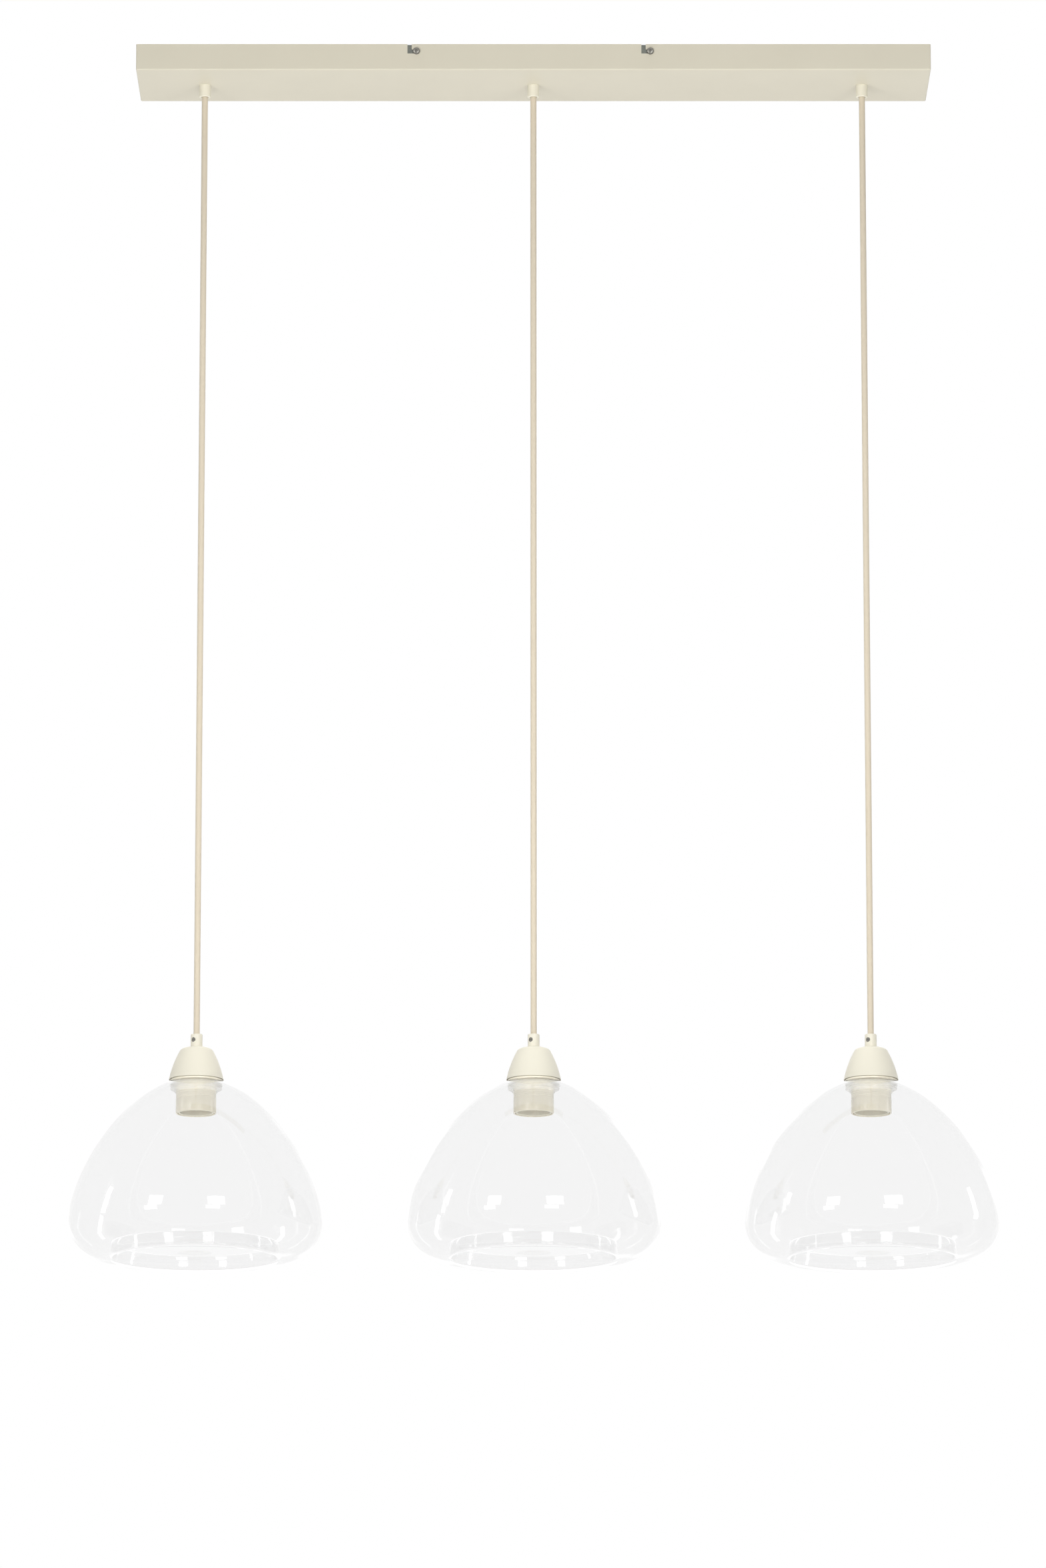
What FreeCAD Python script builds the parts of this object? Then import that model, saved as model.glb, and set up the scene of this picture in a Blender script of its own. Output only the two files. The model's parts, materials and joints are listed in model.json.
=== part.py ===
import FreeCAD, Part
import math
import os

from FreeCAD import Vector

# Linear island pendant: a folded steel canopy on a ceiling bracket, three fabric cords,
# and on each cord a lampholder under a cone-shaped cap that carries a clear blown glass shade.
# Millimetres. Z is up, z = 0 is the ceiling, X runs along the canopy, -Y is the front.

# Canopy, a tray of folded sheet that is open towards the ceiling
CANOPY_LENGTH = 890.0
CANOPY_DEPTH = 120.0
CANOPY_HEIGHT = 30.0
CANOPY_SHEET = 1.0
CANOPY_BEND = 1.6
PENDANT_END_MARGIN = 75.0

# L-shaped slots in the canopy's long walls, which hook over the bracket's screws
SCREW_SPACING = 262.0
SCREW_DROP = 8.2
SLOT_WIDTH = 4.8
SLOT_SHIFT = 7.7

# Ceiling bracket, a galvanised channel just inside the canopy
BRACKET_LENGTH = 300.0
BRACKET_SHEET = 1.5
BRACKET_BEND = 2.2
BRACKET_FLANGE = 14.0
BRACKET_CLEARANCE = 0.2
CEILING_SLOT_SPACING = 200.0
CEILING_SLOT_WIDTH = 5.0
CEILING_SLOT_LENGTH = 20.0
CABLE_HOLE_DIAMETER = 25.0
CABLE_HOLE_X = -55.0

# Canopy screws, M4 pan heads, each in a nut pressed into the bracket's flange
SCREW_DIAMETER = 4.0
SCREW_HEAD_DIAMETER = 8.0
SCREW_HEAD_HEIGHT = 2.4
SCREW_LENGTH = 10.0
NUT_DIAMETER = 7.5
NUT_HEIGHT = 3.0
THREAD_CLEARANCE = 0.05

# Cord grips: a turned sleeve with a threaded stub, a grub screw and a locknut
GRIP_DIAMETER = 13.0
GRIP_LENGTH = 14.0
GRIP_EDGE = 0.5
STUB_DIAMETER = 10.0
STUB_LENGTH = 9.0
HOLE_CLEARANCE = 0.2
GRUB_DIAMETER = 5.0
GRUB_HEIGHT = 7.4
GRUB_RECESS = 0.4
GRUB_SLOT_WIDTH = 0.8
GRUB_SLOT_DEPTH = 0.9
LOWER_GRUB_ANGLE = -122.0
UPPER_GRUB_ANGLE = 90.0
LOCKNUT_FLATS = 14.0
LOCKNUT_HEIGHT = 3.0

# Cords
CORD_DIAMETER = 6.8
CORD_BORE_CLEARANCE = 0.4
CORD_LENGTH = 1073.0
CORD_NECK_CLEARANCE = 0.2
CORD_END_GAP = 0.3
CORD_GRIPPED = 4.0
CORD_TAIL_ABOVE_STUB = 1.0

# Wiring inside the canopy
CORE_DIAMETER = 2.1
CORE_PITCH = 2.2
CORE_RISE = 11.0
CORE_REACH = 12.0
CORE_LANDING = 38.0
CORE_LIFT_OFF = 44.0
CORE_APPROACH = 12.0
CENTRE_CORE_APPROACH = 14.0
CORE_ENTRY = 4.2
CORE_BEND_SHARE = 0.45
LANE_Y = 16.0
LANE_PITCH = 2.8
FLOOR_GAP = 0.05
BLOCK_X = 62.0
POLE_PITCH = 10.0
POLE_WIDTH = 8.6
POLE_LENGTH = 20.0
BLOCK_HEIGHT = 16.0
BLOCK_BORE_HEIGHT = 7.5
BLOCK_WEB_HEIGHT = 4.0
BLOCK_WEB_INSET = 1.0
BLOCK_EDGE = 1.2
TERMINAL_DIAMETER = 6.2
TERMINAL_BORE = 4.7
TERMINAL_INSET = 1.5
TERMINAL_SCREW_DIAMETER = 3.0
TERMINAL_SCREW_OFFSET = 5.0
TERMINAL_SCREW_LENGTH = 6.0
EARTH_STUD_X = 104.0
EARTH_STUD_Y = -34.0
EARTH_STUD_HEIGHT = 13.0
EARTH_NUT_FLATS = 7.0
EARTH_NUT_HEIGHT = 3.2
EARTH_TAG_RADIUS = 4.5
EARTH_TAG_SHEET = 0.8
EARTH_FOOT_RADIUS = 5.0
EARTH_FOOT_HEIGHT = 1.5
EARTH_LINK_STRAIGHT = 20.0
EARTH_LINK_DROP = 22.0
EARTH_LINK_GAP = 0.3

# Cap, a spun steel cup over the lampholder
CAP_BASE_DIAMETER = 60.0
CAP_SHOULDER_DIAMETER = 35.2
CAP_SHOULDER_DROP = 3.2
CAP_TOP_DOME = 0.5
CAP_SIDE_BULGE = 1.4
CAP_HEIGHT = 36.6
CAP_SHEET = 1.0
CAP_SHOULDER_RADIUS = 2.6

# Lampholder
DOME_BOSS_DIAMETER = 14.5
DOME_BOSS_HEIGHT = 10.0
DOME_DIAMETER = 40.0
DOME_HEIGHT = 35.1
DOME_WALL = 2.0
DOME_NECK = 6.0
DOME_SLOPE = 0.75
FLANGE_DIAMETER = 56.0
FLANGE_HEIGHT = 3.0
SLEEVE_DIAMETER = 44.4
SLEEVE_WALL = 1.7
SLEEVE_LENGTH = 35.4
SLEEVE_EDGE = 0.8
INSERT_GAP = 0.9
INSERT_RECESS = 0.8
INSERT_TOP_GAP = 2.4
INSERT_FLOOR = 7.0
INSERT_MOUTH_DIAMETER = 35.5
INSERT_MOUTH_DEPTH = 4.4
INSERT_TAPER = 2.2
INSERT_MOUTH_DRAFT = 0.5
SHELL_BORE = 27.2
SHELL_WALL = 0.4
SHELL_LENGTH = 15.5
SHELL_DROP = 3.0
SHELL_CLEARANCE = 0.1
CONTACT_LENGTH = 18.0
CONTACT_WIDTH = 6.0
CONTACT_SHEET = 0.5
CONTACT_DROP = 2.0
POST_LENGTH = 7.0
POST_WIDTH = 6.0
POST_HEIGHT = 6.0
POST_SPACING = 17.0
POST_WELL_FLOOR = 2.0
LEAD_DROP = 7.0
LEAD_LANDING = 6.0
SHEATH_BELOW_STUB = 3.0

# Shade ring, moulded in clear plastic, which clamps the glass from inside
RING_GAP = 0.15
RING_BORE_CLEARANCE = 0.15
RING_DIAMETER = 58.6
RING_LOWER_DIAMETER = 57.0
RING_RIDGE_HEIGHT = 3.3
RING_EDGE = 0.8
RING_GROOVE_DEPTH = 1.3
RING_COLLAR_DIAMETER = 47.5
RING_COLLAR_HEIGHT = 2.3

# Glass shade
GLASS_WALL = 2.5
SHADE_DIAMETER = 278.4
SEAT_DIAMETER = 60.0
SEAT_TO_BELLY = 156.0
DOME_RISE = 162.0
DOME_RISE_POWER = 1.55
DOME_ROUND_POWER = 0.55
BELLY_TO_FOOT = 40.5
FOOT_DIAMETER = 186.0
LIP_ROLL = 3.5
LIP_LEAN = 10.0
LIP_HEIGHT = 17.7
LIP_STRAIGHT = 6.0
SHADE_HOLE_CLEARANCE = 0.4
SEAT_TURN = 0.35
DOME_RISE_SHARES = (0.985, 0.95, 0.89, 0.8, 0.68, 0.54, 0.38, 0.22, 0.09)
UNDER_ANGLES = (0, 18, 36, 54, 72, 90)

# Heights that follow from the sizes above, going down from the ceiling
CANOPY_FLOOR_Z = -(CANOPY_HEIGHT - CANOPY_SHEET)
CANOPY_UNDERSIDE_Z = -CANOPY_HEIGHT
PIVOT_Z = CANOPY_UNDERSIDE_Z - GRIP_LENGTH
LOWER_GRIP_Z = PIVOT_Z - CORD_LENGTH
CAP_TOP_Z = LOWER_GRIP_Z - GRIP_LENGTH
DOME_TOP_Z = CAP_TOP_Z - CAP_SHEET
SEAT_Z = DOME_TOP_Z - DOME_HEIGHT - FLANGE_HEIGHT
FLANGE_TOP_Z = SEAT_Z + FLANGE_HEIGHT
RING_TOP_Z = SEAT_Z - GLASS_WALL - RING_GAP
SLEEVE_BOTTOM_Z = SEAT_Z - SLEEVE_LENGTH
BELLY_Z = SEAT_Z - SEAT_TO_BELLY
FOOT_Z = BELLY_Z - BELLY_TO_FOOT

PENDANT_PITCH = CANOPY_LENGTH / 2 - PENDANT_END_MARGIN
PENDANTS = {"left": -PENDANT_PITCH, "centre": 0.0, "right": PENDANT_PITCH}
CORD_RADIUS = CORD_DIAMETER / 2
CORD_BORE_RADIUS = CORD_RADIUS + CORD_BORE_CLEARANCE
UP = Vector(0, 0, 1)
ORIGIN = Vector(0, 0, 0)


def cylinder(radius, bottom, top, x=0.0, y=0.0):
    """An upright cylinder between two heights."""
    return Part.makeCylinder(radius, top - bottom, Vector(x, y, bottom))


def block(low, high):
    """A box between its lowest and its highest corner."""
    size = Vector(*high) - Vector(*low)
    return Part.makeBox(size.x, size.y, size.z, Vector(*low))


def outline(points):
    """The edges of an open run of straight lines through (radius, height) points."""
    corners = [Vector(r, 0, z) for r, z in points]
    return [Part.makeLine(a, b) for a, b in zip(corners, corners[1:])]


def turned(edges):
    """The solid made by turning a closed outline in the XZ plane once round the Z axis."""
    face = Part.Face(Part.Wire(Part.__sortEdges__(edges)))
    return face.revolve(ORIGIN, UP, 360)


def turned_points(points):
    """The solid turned from a closed outline of straight lines."""
    return turned(outline(list(points) + [points[0]]))


def arc(start, middle, end):
    """An arc in the XZ plane through three (radius, height) points."""
    return Part.Arc(*[Vector(r, 0, z) for r, z in (start, middle, end)]).toShape()


def curve(points):
    """A smooth curve in the XZ plane through (radius, height) points."""
    spline = Part.BSplineCurve()
    spline.interpolate([Vector(r, 0, z) for r, z in points])
    return spline.toShape()


def hexagon(flats, bottom, top, x, y):
    """A hexagonal prism, such as a nut, with two corners along X."""
    radius = flats / math.sqrt(3)
    corners = [
        Vector(x + radius * math.cos(angle), y + radius * math.sin(angle), bottom)
        for angle in (math.radians(60 * i) for i in range(6))
    ]
    face = Part.Face(Part.makePolygon(corners + corners[:1]))
    return face.extrude(Vector(0, 0, top - bottom))


def lead(points, diameter):
    """A wire core along straight runs joined by tangent arcs. Prints the arcs' radii."""
    corners = [Vector(*p) for p in points]
    edges = []
    radii = []
    at = corners[0]
    for before, corner, after in zip(corners, corners[1:], corners[2:]):
        back = before - corner
        ahead = after - corner
        cut = CORE_BEND_SHARE * min(back.Length, ahead.Length)
        half_turn = (math.pi - back.getAngle(ahead)) / 2
        radius = cut / math.tan(half_turn)
        back.normalize()
        ahead.normalize()
        inward = back + ahead
        inward.normalize()
        middle = corner + inward * (radius / math.cos(half_turn) - radius)
        end = corner + ahead * cut
        edges.append(Part.makeLine(at, corner + back * cut))
        edges.append(Part.Arc(corner + back * cut, middle, end).toShape())
        radii.append(round(radius, 1))
        at = end
    edges.append(Part.makeLine(at, corners[-1]))
    path = Part.Wire(edges)
    section = Part.Wire(Part.makeCircle(diameter / 2, corners[0], corners[1] - corners[0]))
    solid = path.makePipeShell([section], True, False)
    ratio = solid.Volume / (math.pi * diameter**2 / 4 * path.Length)
    print("lead", round(path.Length, 1), "mm, radii", radii, "volume ratio", round(ratio, 4))
    return solid


def slot_cut(x):
    """The L-shaped slot in both long walls: a leg down from the edge and a foot under the screw."""
    half = SLOT_WIDTH / 2
    foot_top = -(SCREW_DROP - SCREW_DIAMETER / 2 - THREAD_CLEARANCE)
    foot_bottom = foot_top - SLOT_WIDTH
    leg_x = x - SLOT_SHIFT
    reach = CANOPY_DEPTH / 2 + CANOPY_SHEET
    leg = block((leg_x - half, -reach, foot_bottom), (leg_x + half, reach, CANOPY_SHEET))
    foot = block((leg_x - half, -reach, foot_bottom), (x + half, reach, foot_top))
    return leg.fuse(foot).removeSplitter()


def canopy_tray():
    """A folded tray with rounded bends, open at the ceiling, holed for the grips and slotted."""
    half_length = CANOPY_LENGTH / 2
    half_depth = CANOPY_DEPTH / 2
    outer = block((-half_length, -half_depth, -CANOPY_HEIGHT), (half_length, half_depth, 0))
    outer = outer.makeFillet(CANOPY_BEND, [e for e in outer.Edges if e.BoundBox.ZMin < -CANOPY_SHEET])
    inner = block(
        (-half_length + CANOPY_SHEET, -half_depth + CANOPY_SHEET, CANOPY_FLOOR_Z),
        (half_length - CANOPY_SHEET, half_depth - CANOPY_SHEET, CANOPY_SHEET),
    )
    inner_edges = [e for e in inner.Edges if e.BoundBox.ZMin < -CANOPY_SHEET]
    inner = inner.makeFillet(CANOPY_BEND - CANOPY_SHEET, inner_edges)
    tray = outer.cut(inner)
    for x in PENDANTS.values():
        tray = tray.cut(cylinder(STUB_DIAMETER / 2 + HOLE_CLEARANCE, -CANOPY_HEIGHT - 1, 0, x))
    for x in (-SCREW_SPACING / 2, SCREW_SPACING / 2):
        tray = tray.cut(slot_cut(x))
    return tray


def ceiling_bracket():
    """A channel with two slots for the ceiling screws, a cable hole and four holes for pressed nuts."""
    half_length = BRACKET_LENGTH / 2
    half_width = CANOPY_DEPTH / 2 - CANOPY_SHEET - BRACKET_CLEARANCE
    outer = block((-half_length, -half_width, -BRACKET_FLANGE), (half_length, half_width, 0))
    top_edges = [e for e in outer.Edges if e.BoundBox.ZMin > -1 and e.BoundBox.XLength > 1]
    outer = outer.makeFillet(BRACKET_BEND, top_edges)
    inner_half = half_width - BRACKET_SHEET
    inner = block(
        (-half_length - 1, -inner_half, -BRACKET_FLANGE - BRACKET_BEND),
        (half_length + 1, inner_half, -BRACKET_SHEET),
    )
    top_edges = [e for e in inner.Edges if e.BoundBox.ZMin > -BRACKET_SHEET - 1 and e.BoundBox.XLength > 1]
    inner = inner.makeFillet(BRACKET_BEND - BRACKET_SHEET, top_edges)
    bracket = outer.cut(inner)
    slot_half = CEILING_SLOT_LENGTH / 2 - CEILING_SLOT_WIDTH / 2
    for x in (-CEILING_SLOT_SPACING / 2, CEILING_SLOT_SPACING / 2):
        ends = [cylinder(CEILING_SLOT_WIDTH / 2, -BRACKET_FLANGE, 1, x + s) for s in (-slot_half, slot_half)]
        bar = block(
            (x - slot_half, -CEILING_SLOT_WIDTH / 2, -BRACKET_FLANGE),
            (x + slot_half, CEILING_SLOT_WIDTH / 2, 1),
        )
        bracket = bracket.cut(bar.fuse(ends))
    bracket = bracket.cut(cylinder(CABLE_HOLE_DIAMETER / 2, -BRACKET_FLANGE, 1, CABLE_HOLE_X))
    for x in (-SCREW_SPACING / 2, SCREW_SPACING / 2):
        start = Vector(x, -CANOPY_DEPTH / 2, -SCREW_DROP)
        radius = SCREW_DIAMETER / 2 + THREAD_CLEARANCE
        bracket = bracket.cut(Part.makeCylinder(radius, CANOPY_DEPTH, start, Vector(0, 1, 0)))
    return bracket


def canopy_screw(x, side):
    """An M4 pan head screw through the slot, side -1 for the front wall and 1 for the rear."""
    wall = CANOPY_DEPTH / 2
    radius = SCREW_HEAD_DIAMETER / 2
    crown = SCREW_HEAD_HEIGHT
    shank = SCREW_DIAMETER / 2
    tip = -SCREW_LENGTH
    edges = outline([(radius, 0), (shank, 0), (shank, tip), (0, tip), (0, crown), (shank, crown)])
    edges.append(arc((shank, crown), (0.82 * radius, 0.8 * crown), (radius, 0.4 * crown)))
    edges += outline([(radius, 0.4 * crown), (radius, 0)])
    screw = turned(edges)
    screw.rotate(ORIGIN, Vector(1, 0, 0), 90 if side < 0 else -90)
    screw.translate(Vector(x, side * wall, -SCREW_DROP))
    return screw


def bracket_nut(x, side):
    """A round nut pressed into the back of the bracket's flange."""
    face = CANOPY_DEPTH / 2 - CANOPY_SHEET - BRACKET_CLEARANCE - BRACKET_SHEET
    at = Vector(x, side * face, -SCREW_DROP)
    inward = Vector(0, -side, 0)
    nut = Part.makeCylinder(NUT_DIAMETER / 2, NUT_HEIGHT, at, inward)
    return nut.cut(Part.makeCylinder(SCREW_DIAMETER / 2 + THREAD_CLEARANCE, NUT_HEIGHT, at, inward))


def grip(angle):
    """A grip with its mouth up at z = 0, its shoulder at -GRIP_LENGTH and its stub below that."""
    radius = GRIP_DIAMETER / 2
    body = turned_points([
        (CORD_BORE_RADIUS, -GRIP_EDGE),
        (CORD_BORE_RADIUS + GRIP_EDGE, 0),
        (radius - GRIP_EDGE, 0),
        (radius, -GRIP_EDGE),
        (radius, -GRIP_LENGTH),
        (STUB_DIAMETER / 2, -GRIP_LENGTH),
        (STUB_DIAMETER / 2, -GRIP_LENGTH - STUB_LENGTH),
        (CORD_BORE_RADIUS, -GRIP_LENGTH - STUB_LENGTH),
    ])
    outward = Vector(math.cos(math.radians(angle)), math.sin(math.radians(angle)), 0)
    at = Vector(0, 0, GRUB_HEIGHT - GRIP_LENGTH)
    return body.cut(Part.makeCylinder(GRUB_DIAMETER / 2 + THREAD_CLEARANCE, GRIP_DIAMETER, at, outward))


def grub_screw(angle):
    """A slotted grub screw that presses on the cord in a grip made by grip()."""
    start = CORD_RADIUS + THREAD_CLEARANCE
    end = GRIP_DIAMETER / 2 - GRUB_RECESS
    screw = Part.makeCylinder(GRUB_DIAMETER / 2, end - start, Vector(start, 0, 0), Vector(1, 0, 0))
    half = GRUB_SLOT_WIDTH / 2
    slot = block((end - GRUB_SLOT_DEPTH, -GRUB_DIAMETER, -half), (end, GRUB_DIAMETER, half))
    screw = screw.cut(slot)
    screw.rotate(ORIGIN, UP, angle)
    screw.translate(Vector(0, 0, GRUB_HEIGHT - GRIP_LENGTH))
    return screw


def placed(shape, x, z, turned_over=False):
    """A copy of a shape moved to its pendant, upside down for the grips on the canopy."""
    copy = shape.copy()
    if turned_over:
        copy.rotate(ORIGIN, Vector(1, 0, 0), 180)
    copy.translate(Vector(x, 0, z))
    return copy


def locknut(x):
    """A thin hexagon nut on the stub of an upper grip, tight on the canopy's floor."""
    nut = hexagon(LOCKNUT_FLATS, CANOPY_FLOOR_Z, CANOPY_FLOOR_Z + LOCKNUT_HEIGHT, x, 0)
    return nut.cut(cylinder(STUB_DIAMETER / 2 + THREAD_CLEARANCE, CANOPY_FLOOR_Z - 1, 0, x))


def tail_top():
    """Height of the cut end of the cord's sheath inside the canopy."""
    return CANOPY_UNDERSIDE_Z + STUB_LENGTH + CORD_TAIL_ABOVE_STUB


def cord_tail(x):
    """The cord's end through an upper grip, cut square above the stub."""
    return cylinder(CORD_RADIUS, PIVOT_Z + CORD_RADIUS + CORD_END_GAP, tail_top(), x)


def core_route(x, lane, side):
    """The route of one core from its cord's end to its pole; lane is -1, 0 or 1."""
    start_y = lane * CORE_PITCH
    pole_y = lane * POLE_PITCH
    top = tail_top()
    out = -side
    near = BLOCK_X + side * POLE_LENGTH / 2
    inside = near - side * CORE_ENTRY
    bore_z = CANOPY_FLOOR_Z + BLOCK_BORE_HEIGHT
    lift = CORE_DIAMETER / 2 + FLOOR_GAP
    route = [
        (x, start_y, top),
        (x, start_y, top + 0.55 * CORE_RISE),
        (x + out * 0.45 * CORE_REACH, start_y, top + CORE_RISE),
        (x + out * CORE_REACH, start_y, top + CORE_RISE),
    ]
    if abs(x) < PENDANT_PITCH / 2:
        return route + [
            (near + side * CENTRE_CORE_APPROACH, pole_y, bore_z + lift),
            (inside, pole_y, bore_z + lift),
        ]
    lane_y = LANE_Y + lane * LANE_PITCH
    floor_z = CANOPY_FLOOR_Z + lift
    return route + [
        (x + out * CORE_LANDING, lane_y, floor_z),
        (near + side * CORE_LIFT_OFF, lane_y, floor_z),
        (near + side * CORE_APPROACH, pole_y, bore_z - lift),
        (inside, pole_y, bore_z - lift),
    ]


def cores(lane):
    """The three cores of one colour, one from each cord."""
    sides = {"left": -1, "centre": -1, "right": 1}
    return [lead(core_route(x, lane, sides[name]), CORE_DIAMETER) for name, x in PENDANTS.items()]


def earth_link():
    """The lead from the earth pole to the stud on the canopy's floor."""
    entry_z = CANOPY_FLOOR_Z + BLOCK_BORE_HEIGHT + CORE_DIAMETER / 2 + FLOOR_GAP
    start_x = BLOCK_X + POLE_LENGTH / 2 - CORE_ENTRY
    tag_z = CANOPY_FLOOR_Z + EARTH_FOOT_HEIGHT + EARTH_TAG_SHEET + CORE_DIAMETER / 2 + FLOOR_GAP
    route = [
        (start_x, 0, entry_z),
        (start_x + EARTH_LINK_STRAIGHT, 0, entry_z),
        (EARTH_STUD_X, EARTH_STUD_Y + EARTH_LINK_DROP, entry_z),
        (EARTH_STUD_X, EARTH_STUD_Y + EARTH_TAG_RADIUS + EARTH_LINK_GAP, tag_z),
    ]
    return lead(route, CORE_DIAMETER)


def terminal_block():
    """A three-pole nylon block with a wire bore and two screw wells in each pole."""
    base = CANOPY_FLOOR_Z
    half = POLE_LENGTH / 2
    span = POLE_PITCH + POLE_WIDTH / 2 - BLOCK_WEB_INSET
    reach = half - BLOCK_WEB_INSET
    web = block((BLOCK_X - reach, -span, base), (BLOCK_X + reach, span, base + BLOCK_WEB_HEIGHT))
    poles = []
    for lane in (-1, 0, 1):
        y = lane * POLE_PITCH
        pole = block(
            (BLOCK_X - half, y - POLE_WIDTH / 2, base),
            (BLOCK_X + half, y + POLE_WIDTH / 2, base + BLOCK_HEIGHT),
        )
        top_edges = [e for e in pole.Edges if e.BoundBox.ZMin > base + 1]
        poles.append(pole.makeFillet(BLOCK_EDGE, top_edges))
    body = web.fuse(poles).removeSplitter()
    bore_z = base + BLOCK_BORE_HEIGHT
    for lane in (-1, 0, 1):
        y = lane * POLE_PITCH
        bore = TERMINAL_DIAMETER / 2 + THREAD_CLEARANCE
        start = Vector(BLOCK_X - POLE_LENGTH, y, bore_z)
        body = body.cut(Part.makeCylinder(bore, 2 * POLE_LENGTH, start, Vector(1, 0, 0)))
        for x in (BLOCK_X - TERMINAL_SCREW_OFFSET, BLOCK_X + TERMINAL_SCREW_OFFSET):
            body = body.cut(cylinder(TERMINAL_SCREW_DIAMETER / 2 + THREAD_CLEARANCE, bore_z, 0, x, y))
    return body


def terminal_tube(lane):
    """The brass tube inside one pole, drilled for its two screws."""
    y = lane * POLE_PITCH
    z = CANOPY_FLOOR_Z + BLOCK_BORE_HEIGHT
    length = POLE_LENGTH - 2 * TERMINAL_INSET
    at = Vector(BLOCK_X - length / 2, y, z)
    tube = Part.makeCylinder(TERMINAL_DIAMETER / 2, length, at, Vector(1, 0, 0))
    tube = tube.cut(Part.makeCylinder(TERMINAL_BORE / 2, length, at, Vector(1, 0, 0)))
    for x in (BLOCK_X - TERMINAL_SCREW_OFFSET, BLOCK_X + TERMINAL_SCREW_OFFSET):
        tube = tube.cut(cylinder(TERMINAL_SCREW_DIAMETER / 2 + THREAD_CLEARANCE, z, 0, x, y))
    return tube


def terminal_screw(lane, side):
    """One clamping screw, its tip just above the cores in the tube."""
    z = CANOPY_FLOOR_Z + BLOCK_BORE_HEIGHT + CORE_DIAMETER + 2 * FLOOR_GAP
    x = BLOCK_X + side * TERMINAL_SCREW_OFFSET
    return cylinder(TERMINAL_SCREW_DIAMETER / 2, z, z + TERMINAL_SCREW_LENGTH, x, lane * POLE_PITCH)


def earth_stud():
    """A stud welded to the canopy's floor, a ring tag and the nut that clamps it."""
    foot_top = CANOPY_FLOOR_Z + EARTH_FOOT_HEIGHT
    tag_top = foot_top + EARTH_TAG_SHEET
    at = (EARTH_STUD_X, EARTH_STUD_Y)
    foot = cylinder(EARTH_FOOT_RADIUS, CANOPY_FLOOR_Z, foot_top, *at)
    stud = foot.fuse(cylinder(SCREW_DIAMETER / 2, foot_top, CANOPY_FLOOR_Z + EARTH_STUD_HEIGHT, *at))
    hole = cylinder(SCREW_DIAMETER / 2 + THREAD_CLEARANCE, CANOPY_FLOOR_Z, 0, *at)
    tag = cylinder(EARTH_TAG_RADIUS, foot_top, tag_top, *at).cut(hole)
    nut = hexagon(EARTH_NUT_FLATS, tag_top, tag_top + EARTH_NUT_HEIGHT, *at).cut(hole)
    return [stud, tag, nut]


def cord_neck(x):
    """The flexing spot of the cord in the mouth of the upper grip, round so that it turns freely."""
    return Part.makeSphere(CORD_RADIUS, Vector(x, 0, PIVOT_Z))


def cord(x):
    """The straight cord that carries the lamp, cupped round its neck at the top."""
    body = cylinder(CORD_RADIUS, LOWER_GRIP_Z - CORD_GRIPPED, PIVOT_Z, x)
    return body.cut(Part.makeSphere(CORD_RADIUS + CORD_NECK_CLEARANCE, Vector(x, 0, PIVOT_Z)))


def cord_end(x):
    """The end of the cord's sheath through the lower grip."""
    bottom = CAP_TOP_Z - STUB_LENGTH - SHEATH_BELOW_STUB
    return cylinder(CORD_RADIUS, bottom, LOWER_GRIP_Z - CORD_GRIPPED, x)


def bowed(start, end, bulge):
    """An arc in the XZ plane between two (radius, height) points, bowed out from the axis by bulge."""
    run = Vector(end[0] - start[0], 0, end[1] - start[1])
    outward = Vector(-run.z, 0, run.x)
    outward.normalize()
    middle = Vector((start[0] + end[0]) / 2, 0, (start[1] + end[1]) / 2) + outward * bulge
    return arc(start, (middle.x, middle.z), end)


def cap():
    """A spun cup: a slightly domed top, a round shoulder, sides that bow out to the rim, an open base."""
    rim_z = CAP_TOP_Z - CAP_HEIGHT
    flat = GRIP_DIAMETER / 2
    shoulder = (CAP_SHOULDER_DIAMETER / 2, CAP_TOP_Z - CAP_SHOULDER_DROP)
    rim = (CAP_BASE_DIAMETER / 2, rim_z)
    profile = outline([(0, rim_z), (0, CAP_TOP_Z), (flat, CAP_TOP_Z)])
    profile += [bowed((flat, CAP_TOP_Z), shoulder, CAP_TOP_DOME), bowed(shoulder, rim, CAP_SIDE_BULGE)]
    profile += outline([rim, (0, rim_z)])
    solid = turned(profile)
    level = [e for e in solid.Edges if e.BoundBox.ZLength < 0.1]
    shoulder_edge = [e for e in level if abs(e.BoundBox.ZMin - shoulder[1]) < 0.1]
    solid = solid.makeFillet(CAP_SHOULDER_RADIUS, shoulder_edge)
    base = [f for f in solid.Faces if f.BoundBox.ZMax < rim_z + 0.1]
    shell = solid.makeThickness(base, -CAP_SHEET, 0.001)
    return shell.cut(cylinder(STUB_DIAMETER / 2 + HOLE_CLEARANCE, rim_z, CAP_TOP_Z + 1))


def holder_dome():
    """The lampholder's upper half: a threaded boss, a hollow dome and the flange on the glass."""
    boss = DOME_BOSS_DIAMETER / 2
    hole = STUB_DIAMETER / 2 + THREAD_CLEARANCE
    outer = DOME_DIAMETER / 2
    inner = outer - DOME_WALL
    flange = FLANGE_DIAMETER / 2
    boss_bottom = DOME_TOP_Z - DOME_BOSS_HEIGHT
    slope_top = DOME_TOP_Z - DOME_NECK
    slope_bottom = slope_top - DOME_SLOPE * (outer - boss)
    return turned_points([
        (hole, DOME_TOP_Z),
        (boss, DOME_TOP_Z),
        (boss, slope_top),
        (outer, slope_bottom),
        (outer, FLANGE_TOP_Z),
        (flange, FLANGE_TOP_Z),
        (flange, SEAT_Z),
        (inner, SEAT_Z),
        (inner, slope_bottom - DOME_WALL),
        (boss, boss_bottom),
        (hole, boss_bottom),
    ])


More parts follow.
